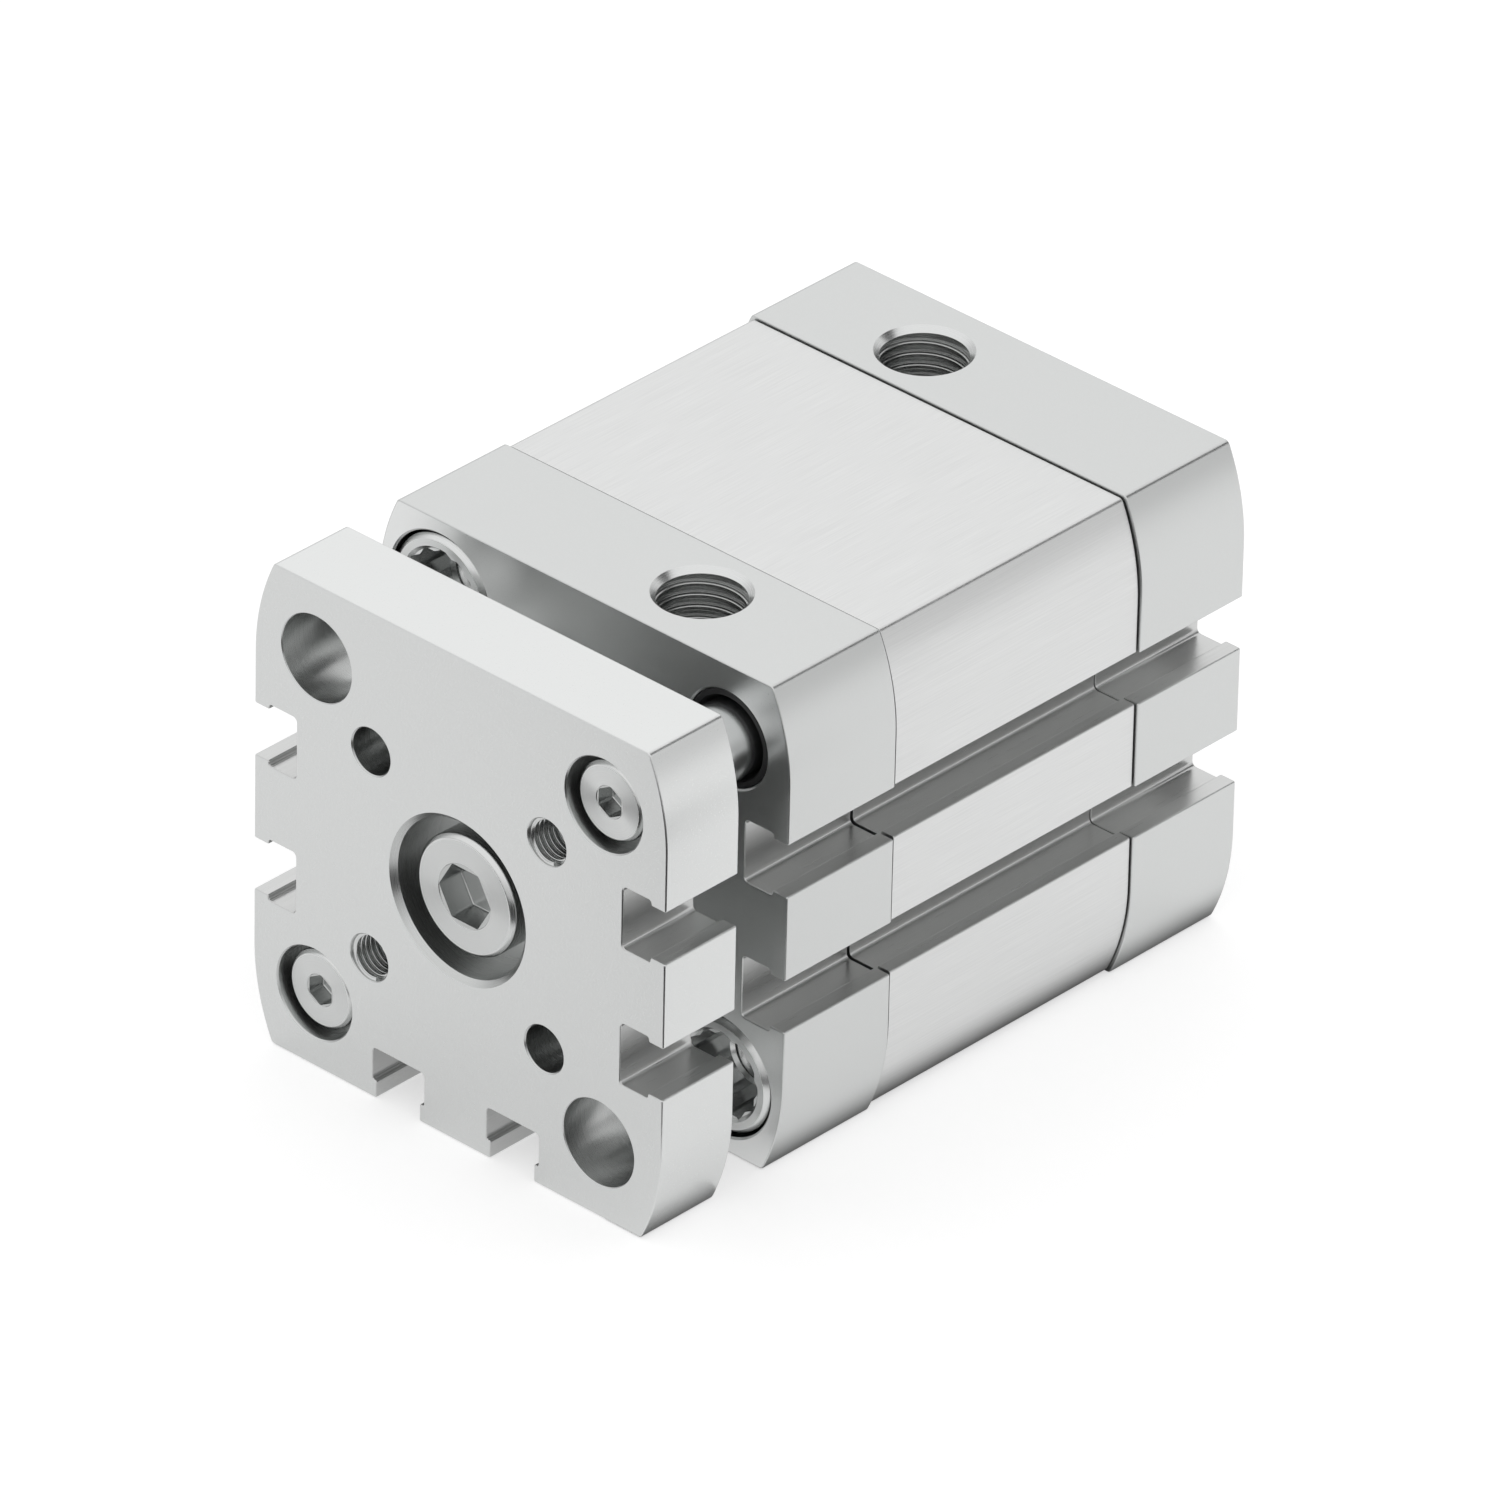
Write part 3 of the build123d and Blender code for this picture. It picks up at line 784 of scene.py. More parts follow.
def thread_tree() -> ShapeTree:
    """A tree that winds a tapered ridge round the upward axis, as a female thread's turns.

    Returns:
        The tree.
    """
    tree = ShapeTree("thread turns", Pitch=Kind.FLOAT, Turns=Kind.FLOAT, Root=Kind.FLOAT,
                     Crest=Kind.FLOAT, RootWidth=Kind.FLOAT, CrestWidth=Kind.FLOAT,
                     Fillet=Kind.FLOAT, Steps=Kind.INTEGER)
    given = tree.given
    height = tree.maths("MULTIPLY", given["Pitch"], given["Turns"])
    total = tree.maths("ADD", given["Root"], given["Crest"])
    middle = tree.maths("MULTIPLY", total, 0.5)
    ridge = tree.maths("SUBTRACT", given["Root"], given["Crest"])
    helix = tree.node("GeometryNodeCurveSpiral", {
        "Resolution": given["Steps"], "Rotations": given["Turns"], "Start Radius": middle,
        "End Radius": middle, "Height": height}, {"Reverse": True})
    upright = tree.node("GeometryNodeSetCurveNormal", {"Curve": helix.outputs["Curve"]},
                        mode="Z_UP")
    section = tree.node("GeometryNodeCurvePrimitiveQuadrilateral", {
        "Bottom Width": given["RootWidth"], "Top Width": given["CrestWidth"],
        "Height": ridge}, {"Offset": 0.0}, mode="TRAPEZOID")
    softened = tree.node("GeometryNodeFilletCurve", {
        "Curve": section.outputs["Curve"], "Radius": given["Fillet"]},
        {"Count": 3, "Limit Radius": True}, mode="POLY")
    inward = tree.node("GeometryNodeTransform", {"Geometry": softened.outputs["Curve"]},
                       {"Rotation": (0.0, 0.0, math.pi / 2.0)})
    swept = tree.node("GeometryNodeCurveToMesh", {
        "Curve": upright.outputs["Curve"], "Profile Curve": inward.outputs["Geometry"]},
        {"Fill Caps": True})
    tree.end(swept.outputs["Mesh"])
    return tree


def bolt_pattern_tree() -> ShapeTree:
    """A tree that stands a copy of a shape at each corner of a square across the Y axis.

    Returns:
        The tree, which gives its material to the first slot's faces alone.
    """
    tree = ShapeTree("bolt pattern", Spacing=Kind.FLOAT)
    spacing = tree.given["Spacing"]
    square = tree.node("GeometryNodeMeshGrid", {"Size X": spacing, "Size Y": spacing},
                       {"Vertices X": 2, "Vertices Y": 2})
    upright = tree.node("GeometryNodeTransform", {"Geometry": square.outputs["Mesh"]},
                        {"Rotation": (math.pi / 2.0, 0.0, 0.0)})
    copies = tree.node("GeometryNodeInstanceOnPoints", {
        "Points": upright.outputs["Geometry"], "Instance": tree.given["Geometry"]})
    slot_number = tree.node("GeometryNodeInputMaterialIndex")
    first = tree.node("FunctionNodeCompare", {2: slot_number.outputs[0]}, {3: 0},
                      data_type="INT", operation="EQUAL")
    tree.end(copies.outputs["Instances"], first.outputs["Result"])
    return tree


@dataclass
class Trees:
    """The geometry node trees, each built once."""

    bar: ShapeTree = field(default_factory=drawn_bar_tree)
    thread: ShapeTree = field(default_factory=thread_tree)
    bolts: ShapeTree = field(default_factory=bolt_pattern_tree)


# Shared shapes


@dataclass
class SlottedOutline:
    """Outer form shared by the plate, the caps and the barrel, as seen from the front."""

    corner_run: float = 2.5
    arc_radius: float = 24.0
    break_radius: float = 0.6
    slot_middle: float = 7.65
    mouth_half: float = 2.9
    channel_half: float = 3.45
    lip: float = 1.95
    depth: float = 5.6
    floor_radius: float = 0.5
    shoulder_radius: float = 0.28
    lip_radius: float = 0.2
    arc_steps: int = 16

    def slot(self, side: float, middle: float) -> list[Corner]:
        """Corners of one T-slot in the right side, from below upwards.

        Args:
            side: where the side is.
            middle: the height of the slot's middle.

        Returns:
            The corners.
        """
        shoulder, floor = HALF_WIDTH - self.lip, HALF_WIDTH - self.depth
        half = [(side, self.mouth_half, self.lip_radius),
                (shoulder, self.mouth_half, self.lip_radius),
                (shoulder, self.channel_half, self.shoulder_radius),
                (floor, self.channel_half, self.floor_radius)]
        return ([(x, middle - z, radius) for x, z, radius in half]
                + [(x, middle + z, radius) for x, z, radius in reversed(half)])

    def arc(self, inset: float) -> list[Point]:
        """Points of the long arc from the right side up to the top flat.

        Args:
            inset: how far the outer form lies inside the largest one.

        Returns:
            The points.
        """
        side = HALF_WIDTH - inset
        middle = side - self.arc_radius
        sweep = math.acos((side - self.corner_run - middle) / self.arc_radius)
        height = side - self.arc_radius * math.sin(sweep)
        return [(middle + self.arc_radius * math.cos(sweep * step / self.arc_steps),
                 height + self.arc_radius * math.sin(sweep * step / self.arc_steps))
                for step in range(self.arc_steps + 1)]

    def loop(self, inset: float = 0.0) -> list[Point]:
        """The whole outline.

        Args:
            inset: how far the outer form lies inside the largest one.

        Returns:
            Points in X and Z, anticlockwise as seen from the front.
        """
        *arc, top = self.arc(inset)
        rising = [*arc, (*top, self.break_radius)]
        slots = [corner for middle in (-self.slot_middle, self.slot_middle)
                 for corner in self.slot(HALF_WIDTH - inset, middle)]
        return rounded([
            *slots, *rising,
            *((-x, z, *radius) for x, z, *radius in reversed(rising)),
            *((-x, -z, *radius) for x, z, *radius in slots),
            *((-x, -z, *radius) for x, z, *radius in rising),
            *((z, -x, *radius) for x, z, *radius in slots),
            *((x, -z, *radius) for x, z, *radius in reversed(rising))])


@dataclass
class DrawnBar:
    """A bar of the slotted outline between two places on the Y axis."""

    name: str
    front: float
    back: float
    front_round: float
    back_round: float
    finish: Finish
    inset: float = 0.0
    round_steps: int = 3
    slot_edge: float = 0.3
    side_slope: float = 0.5

    def dress_slots(self, bar: bpy.types.Object, outline: SlottedOutline) -> None:
        """Give the inner faces of the slots a darker finish of their own, as painted shade.

        Args:
            bar: the bar.
            outline: its section.
        """
        bar.data.materials.append(SHADED_SLOT.material())
        inner = len(bar.data.materials) - 1
        outer = (HALF_WIDTH - self.slot_edge) * MM
        near = (outline.slot_middle - outline.channel_half - SAME_PLACE) * MM
        far = (outline.slot_middle + outline.channel_half + SAME_PLACE) * MM
        for face in bar.data.polygons:
            x, z = abs(face.center.x), abs(face.center.z)
            beside = x > z and near < z < far and x < outer
            below = face.center.z < 0.0 and z > x and near < x < far and z < outer
            if abs(face.normal.y) < self.side_slope and (beside or below):
                face.material_index = inner

    def build(self, outline: SlottedOutline, tree: ShapeTree) -> bpy.types.Object:
        """Draw the bar and round the edges of its two ends.

        Args:
            outline: the section.
            tree: the tree that draws a section forward.

        Returns:
            The bar, as plain mesh.
        """
        loop = outline.loop(self.inset)
        mesh = bpy.data.meshes.new(self.name)
        mesh.from_pydata([(x * MM, self.back * MM, z * MM) for x, z in loop], [],
                         [list(range(len(loop)))])
        bar = link_object(self.name, mesh)
        tree.run(bar, self.finish.material(), Length=(self.back - self.front) * MM)
        self.dress_slots(bar, outline)
        widest = max(self.front_round, self.back_round)
        weights = bar.data.attributes.new("bevel_weight_edge", "FLOAT", "EDGE")
        corners = bar.data.vertices
        for edge in bar.data.edges:
            places = [corners[index].co.y / MM for index in edge.vertices]
            for end, size in ((self.front, self.front_round), (self.back, self.back_round)):
                if all(abs(place - end) < SAME_PLACE for place in places):
                    weights.data[edge.index].value = size / widest
        rounding = bar.modifiers.new("rounding", "BEVEL")
        rounding.limit_method = "WEIGHT"
        rounding.width = widest * MM
        rounding.segments = self.round_steps
        rounding.use_clamp_overlap = False
        return settled(bar)


@dataclass
class Hole:
    """A round hole: places along its axis with the radius that it has from there on."""

    steps: list[Point]
    centre: Point = (0.0, 0.0)
    mouth: float = 0.12
    mouth_depth: float | None = None
    corner: float = 0.05
    axis: Axis = Axis.ALONG
    finish: Finish = SHADED_BORE
    segments: int = ROUND_SEGMENTS

    def tool(self) -> bpy.types.Object:
        """The solid that cuts the hole, flared where it leaves the first face.

        Returns:
            The solid.
        """
        (face, radius), *rest = self.steps
        inward = math.copysign(1.0, self.steps[-1][0] - face)
        depth = self.mouth_depth or self.mouth
        flare = radius + self.mouth + CLEAR * self.mouth / depth
        corners = [(face - inward * CLEAR, flare), (face + inward * depth, radius, self.corner)]
        for place, following in rest:
            corners.append((place, radius))
            if following > 0.0 and abs(following - radius) > SAME_PLACE:
                corners.append((place, following))
            radius = following
        return turned("hole tool", solid(corners), self.finish, self.centre, self.axis,
                      self.segments, TOOL_TWIST)


@dataclass(frozen=True)
class Ridge:
    """The ridge of a female thread.

    The shares give the widths of its root and its crest as parts of the pitch. It starts at a
    turn in degrees and its root bites a little into the hole's wall.
    """

    pitch: float
    crest_radius: float
    root_share: float = 0.84
    crest_share: float = 0.14
    fillet: float = 0.03
    start_turn: float = 0.0
    steps: int = 48
    bite: float = 0.03


PLATE_RIDGE = Ridge(0.65, 2.12, root_share=0.8, crest_share=0.3, fillet=0.07, start_turn=70.0)
PORT_RIDGE = Ridge(1.3, 4.42, root_share=0.66, crest_share=0.34, fillet=0.14, start_turn=138.0)
COLLAR_RIDGE = Ridge(1.0, 2.459)


@dataclass
class Thread:
    """The turns of a female thread in a hole, from its mouth inwards."""

    name: str
    ridge: Ridge
    finish: Finish
    radius: float
    mouth: float
    depth: float
    centre: Point = (0.0, 0.0)
    axis: Axis = Axis.ALONG
    inward: float = 1.0

    def build(self, tree: ShapeTree) -> bpy.types.Object:
        """Wind the thread's ridge and stand it in its hole.

        Args:
            tree: the tree that winds a ridge.

        Returns:
            The ridge, as plain mesh in its place.
        """
        made = link_object(self.name, bpy.data.meshes.new(self.name))
        ridge = self.ridge
        tree.run(made, self.finish.material(), Pitch=ridge.pitch * MM,
                 Turns=self.depth / ridge.pitch - 1.0, Root=(self.radius + ridge.bite) * MM,
                 Crest=ridge.crest_radius * MM, RootWidth=ridge.root_share * ridge.pitch * MM,
                 CrestWidth=ridge.crest_share * ridge.pitch * MM, Fillet=ridge.fillet * MM,
                 Steps=ridge.steps)
        if self.axis is Axis.ALONG:
            turn = Matrix.Rotation(-self.inward * math.pi / 2.0, 4, "X")
            start = self.mouth + self.inward * ridge.pitch / 2.0
            place = Vector((self.centre[0], start, self.centre[1]))
        else:
            turn = Matrix.Rotation(math.pi, 4, "X")
            place = Vector((*self.centre, self.mouth - ridge.pitch / 2.0))
        start_turn = Matrix.Rotation(math.radians(ridge.start_turn), 4, "Z")
        made.data.transform(Matrix.Translation(place * MM) @ turn @ start_turn)
        return made


# The moving plate


@dataclass
class YokePlate:
    """The moving plate with its screw, rod, access, dowel and tapped holes."""

    front: float = -82.0
    back: float = -72.0
    edge_round: float = 0.16
    small_spacing: float = 11.667
    counterbore_radius: float = 8.5
    counterbore_floor: float = -76.0
    counterbore_chamfer: float = 0.6
    centre_radius: float = 4.3
    guide_counterbore_radius: float = 5.0
    guide_counterbore_floor: float = -77.7
    guide_screw_radius: float = 2.8
    register_radius: float = 4.05
    register_depth: float = 2.5
    access_radius: float = 4.65
    small_radius: float = 2.5
    fine_mouth: float = 0.1
    soft_mouth: float = 0.15
    thread_start: float = 0.04

    def holes(self) -> list[Hole]:
        """All holes of the plate.

        Returns:
            The holes.
        """
        end = (self.back + CLEAR, 0.0)
        small = [(self.front, self.small_radius), end]
        made = [Hole([(self.front, self.counterbore_radius),
                      (self.counterbore_floor, self.centre_radius), end],
                     mouth=self.counterbore_chamfer)]
        for _, side in GUIDES:
            made.append(Hole([(self.front, self.guide_counterbore_radius),
                              (self.guide_counterbore_floor, self.guide_screw_radius),
                              (self.back - self.register_depth, self.register_radius), end],
                             (side * CORNER, side * CORNER), self.soft_mouth))
        for side in SIDES:
            near = side * self.small_spacing
            made += [Hole([(self.front, self.access_radius), end],
                          (side * CORNER, -side * CORNER), self.fine_mouth),
                     Hole(small, (near, -near), self.soft_mouth, segments=SMALL_SEGMENTS),
                     Hole(small, (near, near), self.fine_mouth, segments=SMALL_SEGMENTS)]
        return made

    def build(self, outline: SlottedOutline, trees: Trees) -> None:
        """Draw, drill and tap the plate, and place it on the carriage.

        Args:
            outline: the section.
            trees: the geometry node trees.
        """
        bar = DrawnBar("yoke plate blank", self.front, self.back, self.edge_round,
                       self.edge_round, PLATE).build(outline, trees.bar)
        combined(bar, [hole.tool() for hole in self.holes()])
        # Painted light on the plate's back, which the bearing cap's front mirrors.
        dress_face(bar, self.back, PAINTED_LIGHT_FACE)
        start = self.front + self.thread_start
        turns = [Thread("plate thread", PLATE_RIDGE, THREAD, self.small_radius, start,
                        self.back - start - self.thread_start,
                        (side * self.small_spacing, side * self.small_spacing)).build(trees.thread)
                 for side in SIDES]
        placed(joined("yoke plate", [bar, *turns]), "carriage", PLATE)


# The housing's caps and barrel


@dataclass
class Cap:
    """A cap of the housing: its block, spigot, stop groove and port.

    The inward sign is +1 where the cylinder space lies behind the cap and -1 where it lies in
    front.
    """

    name: str
    outer: float
    seam: float
    inward: float
    port: Point
    seam_round: float
    outer_round: float = 0.16
    spigot_length: float = 2.8
    spigot_radius: float = 19.95
    ring_floor_radius: float = 18.3
    ring_middle: float = 1.4
    ring_half: float = 0.85
    stop_inner: float = 8.45
    stop_outer: float = 11.55
    stop_depth: float = 1.2
    passage_radius: float = 4.75
    port_radius: float = 4.864
    port_depth: float = 9.0
    mouth_radius: float = 4.46
    port_mouth: float = 0.6
    port_mouth_depth: float = 0.64
    port_thread_start: float = 0.72
    port_turns_start: float = 0.95
    drop_radius: float = 2.0
    drop: float = 14.25
    cross_radius: float = 1.95
    passage_overlap: float = 0.63
    # Whether the outer face takes painted light.
    painted_light_front: bool = False

    def at(self, depth: float) -> float:
        """The place on the Y axis at a depth behind the seam."""
        return self.seam + self.inward * depth

    def holes(self) -> list[Hole]:
        """The holes that a cap has beside its port."""
        return []

    def spigot(self) -> bpy.types.Object:
        """The spigot with its ring groove and the groove of the elastic stop.

        Returns:
            The spigot.
        """
        near, far = self.ring_middle - self.ring_half, self.ring_middle + self.ring_half
        floor, tip = self.spigot_length - self.stop_depth, self.spigot_length
        steps = ((-CLEAR, self.spigot_radius), (near, self.spigot_radius),
                 (near, self.ring_floor_radius), (far, self.ring_floor_radius),
                 (far, self.spigot_radius), (tip, self.spigot_radius), (tip, self.stop_outer),
                 (floor, self.stop_outer), (floor, self.stop_inner), (tip, self.stop_inner))
        return turned_tool([(self.at(depth), radius) for depth, radius in steps], CAP)

    def cuts(self) -> list[bpy.types.Object]:
        """Tools for the port and its passage.

        Returns:
            The two tools.
        """
        x, y = self.port
        low = HALF_WIDTH - self.drop
        port = Hole([(HALF_WIDTH, self.mouth_radius),
                     (HALF_WIDTH - self.port_thread_start, self.port_radius),
                     (HALF_WIDTH - self.port_depth, self.drop_radius), (low, 0.0)],
                    self.port, self.port_mouth, self.port_mouth_depth, axis=Axis.UP,
                    finish=PORT_BORE)
        start = y - self.inward * self.passage_overlap
        end = self.at(self.spigot_length) + self.inward * CLEAR
        passage = turned("passage tool", solid([(start, self.cross_radius),
                                                (end, self.cross_radius)]),
                         SHADED_BORE, (x, low), segments=SMALL_SEGMENTS)
        return [port.tool(), passage]

    def build(self, outline: SlottedOutline, trees: Trees) -> None:
        """Draw, turn, drill and tap the cap, and place it on the housing.

        Args:
            outline: the section.
            trees: the geometry node trees.
        """
        front, back = sorted((self.outer, self.seam))
        rounds = (self.outer_round, self.seam_round)
        bar = DrawnBar(f"{self.name} blank", front, back,
                       *(rounds if front == self.outer else rounds[::-1]),
                       CAP).build(outline, trees.bar)
        combined(bar, [self.spigot()], "UNION")
        combined(bar, [*self.cuts(), *(hole.tool() for hole in self.holes())])
        # Painted light on the bearing cap's front, which lies in the plate's shade.
        if self.painted_light_front:
            dress_face(bar, self.outer, PAINTED_LIGHT_FACE)
        turns = Thread("port thread", PORT_RIDGE, SHADED_PORT_THREAD, self.port_radius,
                       HALF_WIDTH - self.port_turns_start,
                       self.port_depth - self.port_turns_start, self.port,
                       Axis.UP).build(trees.thread)
        placed(joined(self.name, [bar, turns]), "housing", CAP)


@dataclass
class BearingCap(Cap):
    """The front cap, with the rod's seal and bush seats and the corner pockets."""

    name: str = "bearing cap"
    outer: float = -65.0
    seam: float = -50.0
    inward: float = 1.0
    port: Point = (8.0, -56.9)
    seam_round: float = 0.18
    painted_light_front: bool = True
    mouth_chamfer: float = 0.2
    rod_mouth_radius: float = 8.0
    seal_front: float = -64.2
    seal_radius: float = 9.55
    seal_back: float = -59.9
    waist_radius: float = 6.3
    bush_front: float = -56.4
    bush_radius: float = 7.05
    wiper_radius: float = 5.2
    guide_bush_front: float = -62.35
    guide_bush_radius: float = 5.05
    guide_bush_back: float = -52.3
    guide_passage_radius: float = 4.3
    collar_radius: float = 6.6
    collar_floor: float = -57.0

    def holes(self) -> list[Hole]:
        """The rod's, the guides' and the collar screws' holes.

        Returns:
            The holes.
        """
        end = (self.seam + CLEAR, 0.0)
        made = [Hole([(self.outer, self.rod_mouth_radius), (self.seal_front, self.seal_radius),
                      (self.seal_back, self.waist_radius), (self.bush_front, self.bush_radius),
                      (self.at(self.spigot_length) + CLEAR, 0.0)])]
        for side in SIDES:
            made += [Hole([(self.outer, self.wiper_radius),
                           (self.guide_bush_front, self.guide_bush_radius),
                           (self.guide_bush_back, self.guide_passage_radius), end],
                          (side * CORNER, side * CORNER), self.mouth_chamfer),
                     Hole([(self.outer, self.collar_radius),
                           (self.collar_floor, self.passage_radius), end],
                          (side * CORNER, -side * CORNER), self.mouth_chamfer)]
        return made


@dataclass
class EndCap(Cap):
    """The rear cap, with its centring bore and the pockets of the rear screws."""

    name: str = "end cap"
    outer: float = 0.0
    seam: float = -15.0
    inward: float = -1.0
    port: Point = (-8.0, -8.1)
    seam_round: float = 0.14
    centring_radius: float = 4.5
    centring_depth: float = 2.1
    pocket_radius: float = 5.4
    pocket_depth: float = 5.0
    screw_pocket_radius: float = 4.85
    screw_pocket_floor: float = -14.0

    def holes(self) -> list[Hole]:
        """The centring bore, the piston screw's pocket and the corner holes.

        Returns:
            The holes.
        """
        corner_steps = [(self.outer, self.pocket_radius),
                        (self.outer - self.pocket_depth, self.passage_radius),
                        (self.seam - CLEAR, 0.0)]
        return [Hole([(self.outer, self.centring_radius),
                      (self.outer - self.centring_depth, 0.0)]),
                Hole([(self.at(self.spigot_length), self.screw_pocket_radius),
                      (self.screw_pocket_floor, 0.0)]),
                *(Hole(corner_steps, (x * CORNER, z * CORNER)) for x in SIDES for z in SIDES)]


@dataclass
class Barrel:
    """The extruded barrel with its bore and corner holes."""

    front: float = -49.68
    back: float = -15.18
    inset: float = 0.3
    edge_round: float = 0.05
    mouth: float = 0.05
    mouth_corner: float = 0.02
    bore_radius: float = 20.0
    corner_radius: float = 4.65

    def build(self, outline: SlottedOutline, trees: Trees) -> None:
        """Draw and bore the barrel, and place it on the housing.

        Args:
            outline: the section.
            trees: the geometry node trees.
        """
        bar = DrawnBar("drawn barrel", self.front, self.back, self.edge_round, self.edge_round,
                       BARREL, self.inset).build(outline, trees.bar)
        bores = [(self.bore_radius, (0.0, 0.0))]
        bores += [(self.corner_radius, (x * CORNER, z * CORNER)) for x in SIDES for z in SIDES]
        combined(bar, [Hole([(self.front, radius), (self.back + CLEAR, 0.0)], centre, self.mouth,
                            corner=self.mouth_corner).tool() for radius, centre in bores])
        placed(bar, "housing", BARREL, "barrel")


# Screws


@dataclass
class CollarScrew:
    """A collar screw: round head, twelve-point socket and a threaded bore behind it."""

    head_radius: float
    head_length: float
    star_radius: float
    star_depth: float
    inward: float
    points: int = 12
    outer_tip: float = 0.08
    inner_tip: float = 0.25
    tip_steps: int = 3
    shank_radius: float = 4.55
    shank_length: float = 18.0
    chamfer: float = 0.5
    face_edge: float = 0.06
    edge: float = 0.1
    tip_edge: float = 0.05
    socket_chamfer: float = 0.4
    rim: float = 0.2
    bore_radius: float = 3.0
    bore_length: float = 12.0
    thread_mouth: float = 0.35
    lead: float = 0.1

    def star(self) -> list[Point]:
        """Outline of the socket: two hexagons laid over each other.

        Returns:
            Its points.
        """
        half = math.pi / self.points
        valley = self.star_radius * math.cos(2.0 * half) / math.cos(half)
        corners = []
        for step in range(self.points):
            point = math.tau * step / self.points
            for turn, radius, softness in ((point, self.star_radius, self.outer_tip),
                                           (point + half, valley, self.inner_tip)):
                corners.append((radius * math.cos(turn), radius * math.sin(turn), softness))
        return rounded(corners, self.tip_steps)

    def build(self, trees: Trees, name: str, face: float) -> bpy.types.Object:
        """Make the screw on the middle line.

        Args:
            trees: the geometry node trees.
            name: the object's name.
            face: place of its head's face on the Y axis.

        Returns:
            The screw, as plain mesh.
        """
        def at(depth: float) -> float:
            """The place at a depth behind the face."""
            return face + self.inward * depth

        head, tip = self.head_length, self.head_length + self.shank_length
        body = turned(name, solid([
            (at(0.0), self.head_radius - self.chamfer, self.face_edge),
            (at(self.chamfer), self.head_radius, self.edge),
            (at(head), self.head_radius, self.edge), (at(head), self.shank_radius, self.edge),
            (at(tip - self.chamfer), self.shank_radius, self.edge),
            (at(tip), self.shank_radius - self.chamfer, self.tip_edge)]), SCREW_SIDE)
        floor, rim = self.star_depth, self.star_radius + self.rim
        mouth = self.bore_radius + self.thread_mouth
        combined(body, [
            straight_tool(self.star(), at(-CLEAR), at(floor), SHADED_SOCKET),
            turned_tool([(at(-CLEAR), rim + CLEAR),
                         (at(self.socket_chamfer), rim - self.socket_chamfer)], SCREW_SIDE),
            turned_tool([(at(floor - CLEAR), mouth), (at(floor), mouth),
                         (at(floor + self.thread_mouth), self.bore_radius),
                         (at(floor + self.bore_length), self.bore_radius)], THREAD)])
        dress_face(body, face, CORNER_FACE)
        turns = Thread("collar thread", COLLAR_RIDGE, THREAD, self.bore_radius,
                       at(floor + self.lead), self.bore_length - self.lead,
                       inward=self.inward).build(trees.thread)
        return joined(name, [body, turns])


@dataclass
class CollarScrews:
    """The two collar screws seen through the plate and the four at the rear."""

    front_face: float = -65.0
    rear_face: float = 0.0
    front: CollarScrew = field(default_factory=lambda: CollarScrew(
        head_radius=6.25, head_length=8.0, star_radius=4.8, star_depth=5.0, inward=1.0))
    rear: CollarScrew = field(default_factory=lambda: CollarScrew(
        head_radius=5.3, head_length=5.0, star_radius=3.9, star_depth=2.5, inward=-1.0))

    def build(self, trees: Trees) -> None:
        """Make all six screws and place them on the housing.

        Args:
            trees: the geometry node trees.
        """
        for place, side in GUIDES:
            screw = self.front.build(trees, f"{place} front collar screw", self.front_face)
            corner = Vector((-side * CORNER, 0.0, side * CORNER))
            screw.data.transform(Matrix.Translation(corner * MM))
            placed(screw, "housing", SCREW_SIDE)
        rear = self.rear.build(trees, "rear collar screws", self.rear_face)
        trees.bolts.run(rear, SCREW_SIDE.material(), Spacing=2.0 * CORNER * MM)
        nodes = [f"{height}_{side}_rear_collar_screw" for height in ("upper", "lower")
                 for side in ("left", "right")]
        placed(rear, "housing", SCREW_SIDE, *nodes)


@dataclass
class SocketScrew:
    """A cap screw with a hexagon socket, on a line along Y."""

    name: str
    centre: Point
    face: Finish
    crown: float
    seat: float
    tip: float
    head_radius: float
    shank_radius: float
    key: float
    key_depth: float
    key_turn: float
    chamfer: float
    softness: float
    edge: float = 0.05
    neck: float = 0.1
    mouth: float = 0.03
    fillet: float = 0.2
    fillet_steps: int = 3

    def key_tool(self, corner: float) -> bpy.types.Object:
        """The punch that presses the socket, with its edges rounded.

        Args:
            corner: how far its corners stand from the middle.

        Returns:
            The punch.
        """
        x, z = self.centre
        turns = [self.key_turn + math.tau * side / 6 for side in range(6)]
        outline = [(x + corner * math.cos(turn), z + corner * math.sin(turn)) for turn in turns]
        punch = straight_tool(outline, self.crown - CLEAR, self.crown + self.key_depth, SHADED_SOCKET)
        fillets = punch.modifiers.new("fillets", "BEVEL")
        fillets.width = self.fillet * MM
        fillets.segments = self.fillet_steps
        return settled(punch)

    def build(self) -> None:
        """Turn the screw, press its socket and place it on the carriage."""
        body = turned(self.name, solid([
            (self.crown, self.head_radius - self.chamfer, self.softness),
            (self.crown + self.chamfer, self.head_radius, self.softness),
            (self.seat, self.head_radius, self.edge), (self.seat, self.shank_radius, self.neck),
            (self.tip - self.chamfer, self.shank_radius, self.edge),
            (self.tip, self.shank_radius - self.chamfer)]), SCREW_SIDE, self.centre)
        corner = self.key / math.sqrt(3.0)
        combined(body, [
            self.key_tool(corner),
            turned_tool([(self.crown - CLEAR, corner + self.mouth + CLEAR),
                         (self.crown + 2.0 * self.mouth, corner - self.mouth)], SHADED_SOCKET,
                        self.centre)])
        dress_face(body, self.crown, self.face)
        placed(body, "carriage", SCREW_SIDE)


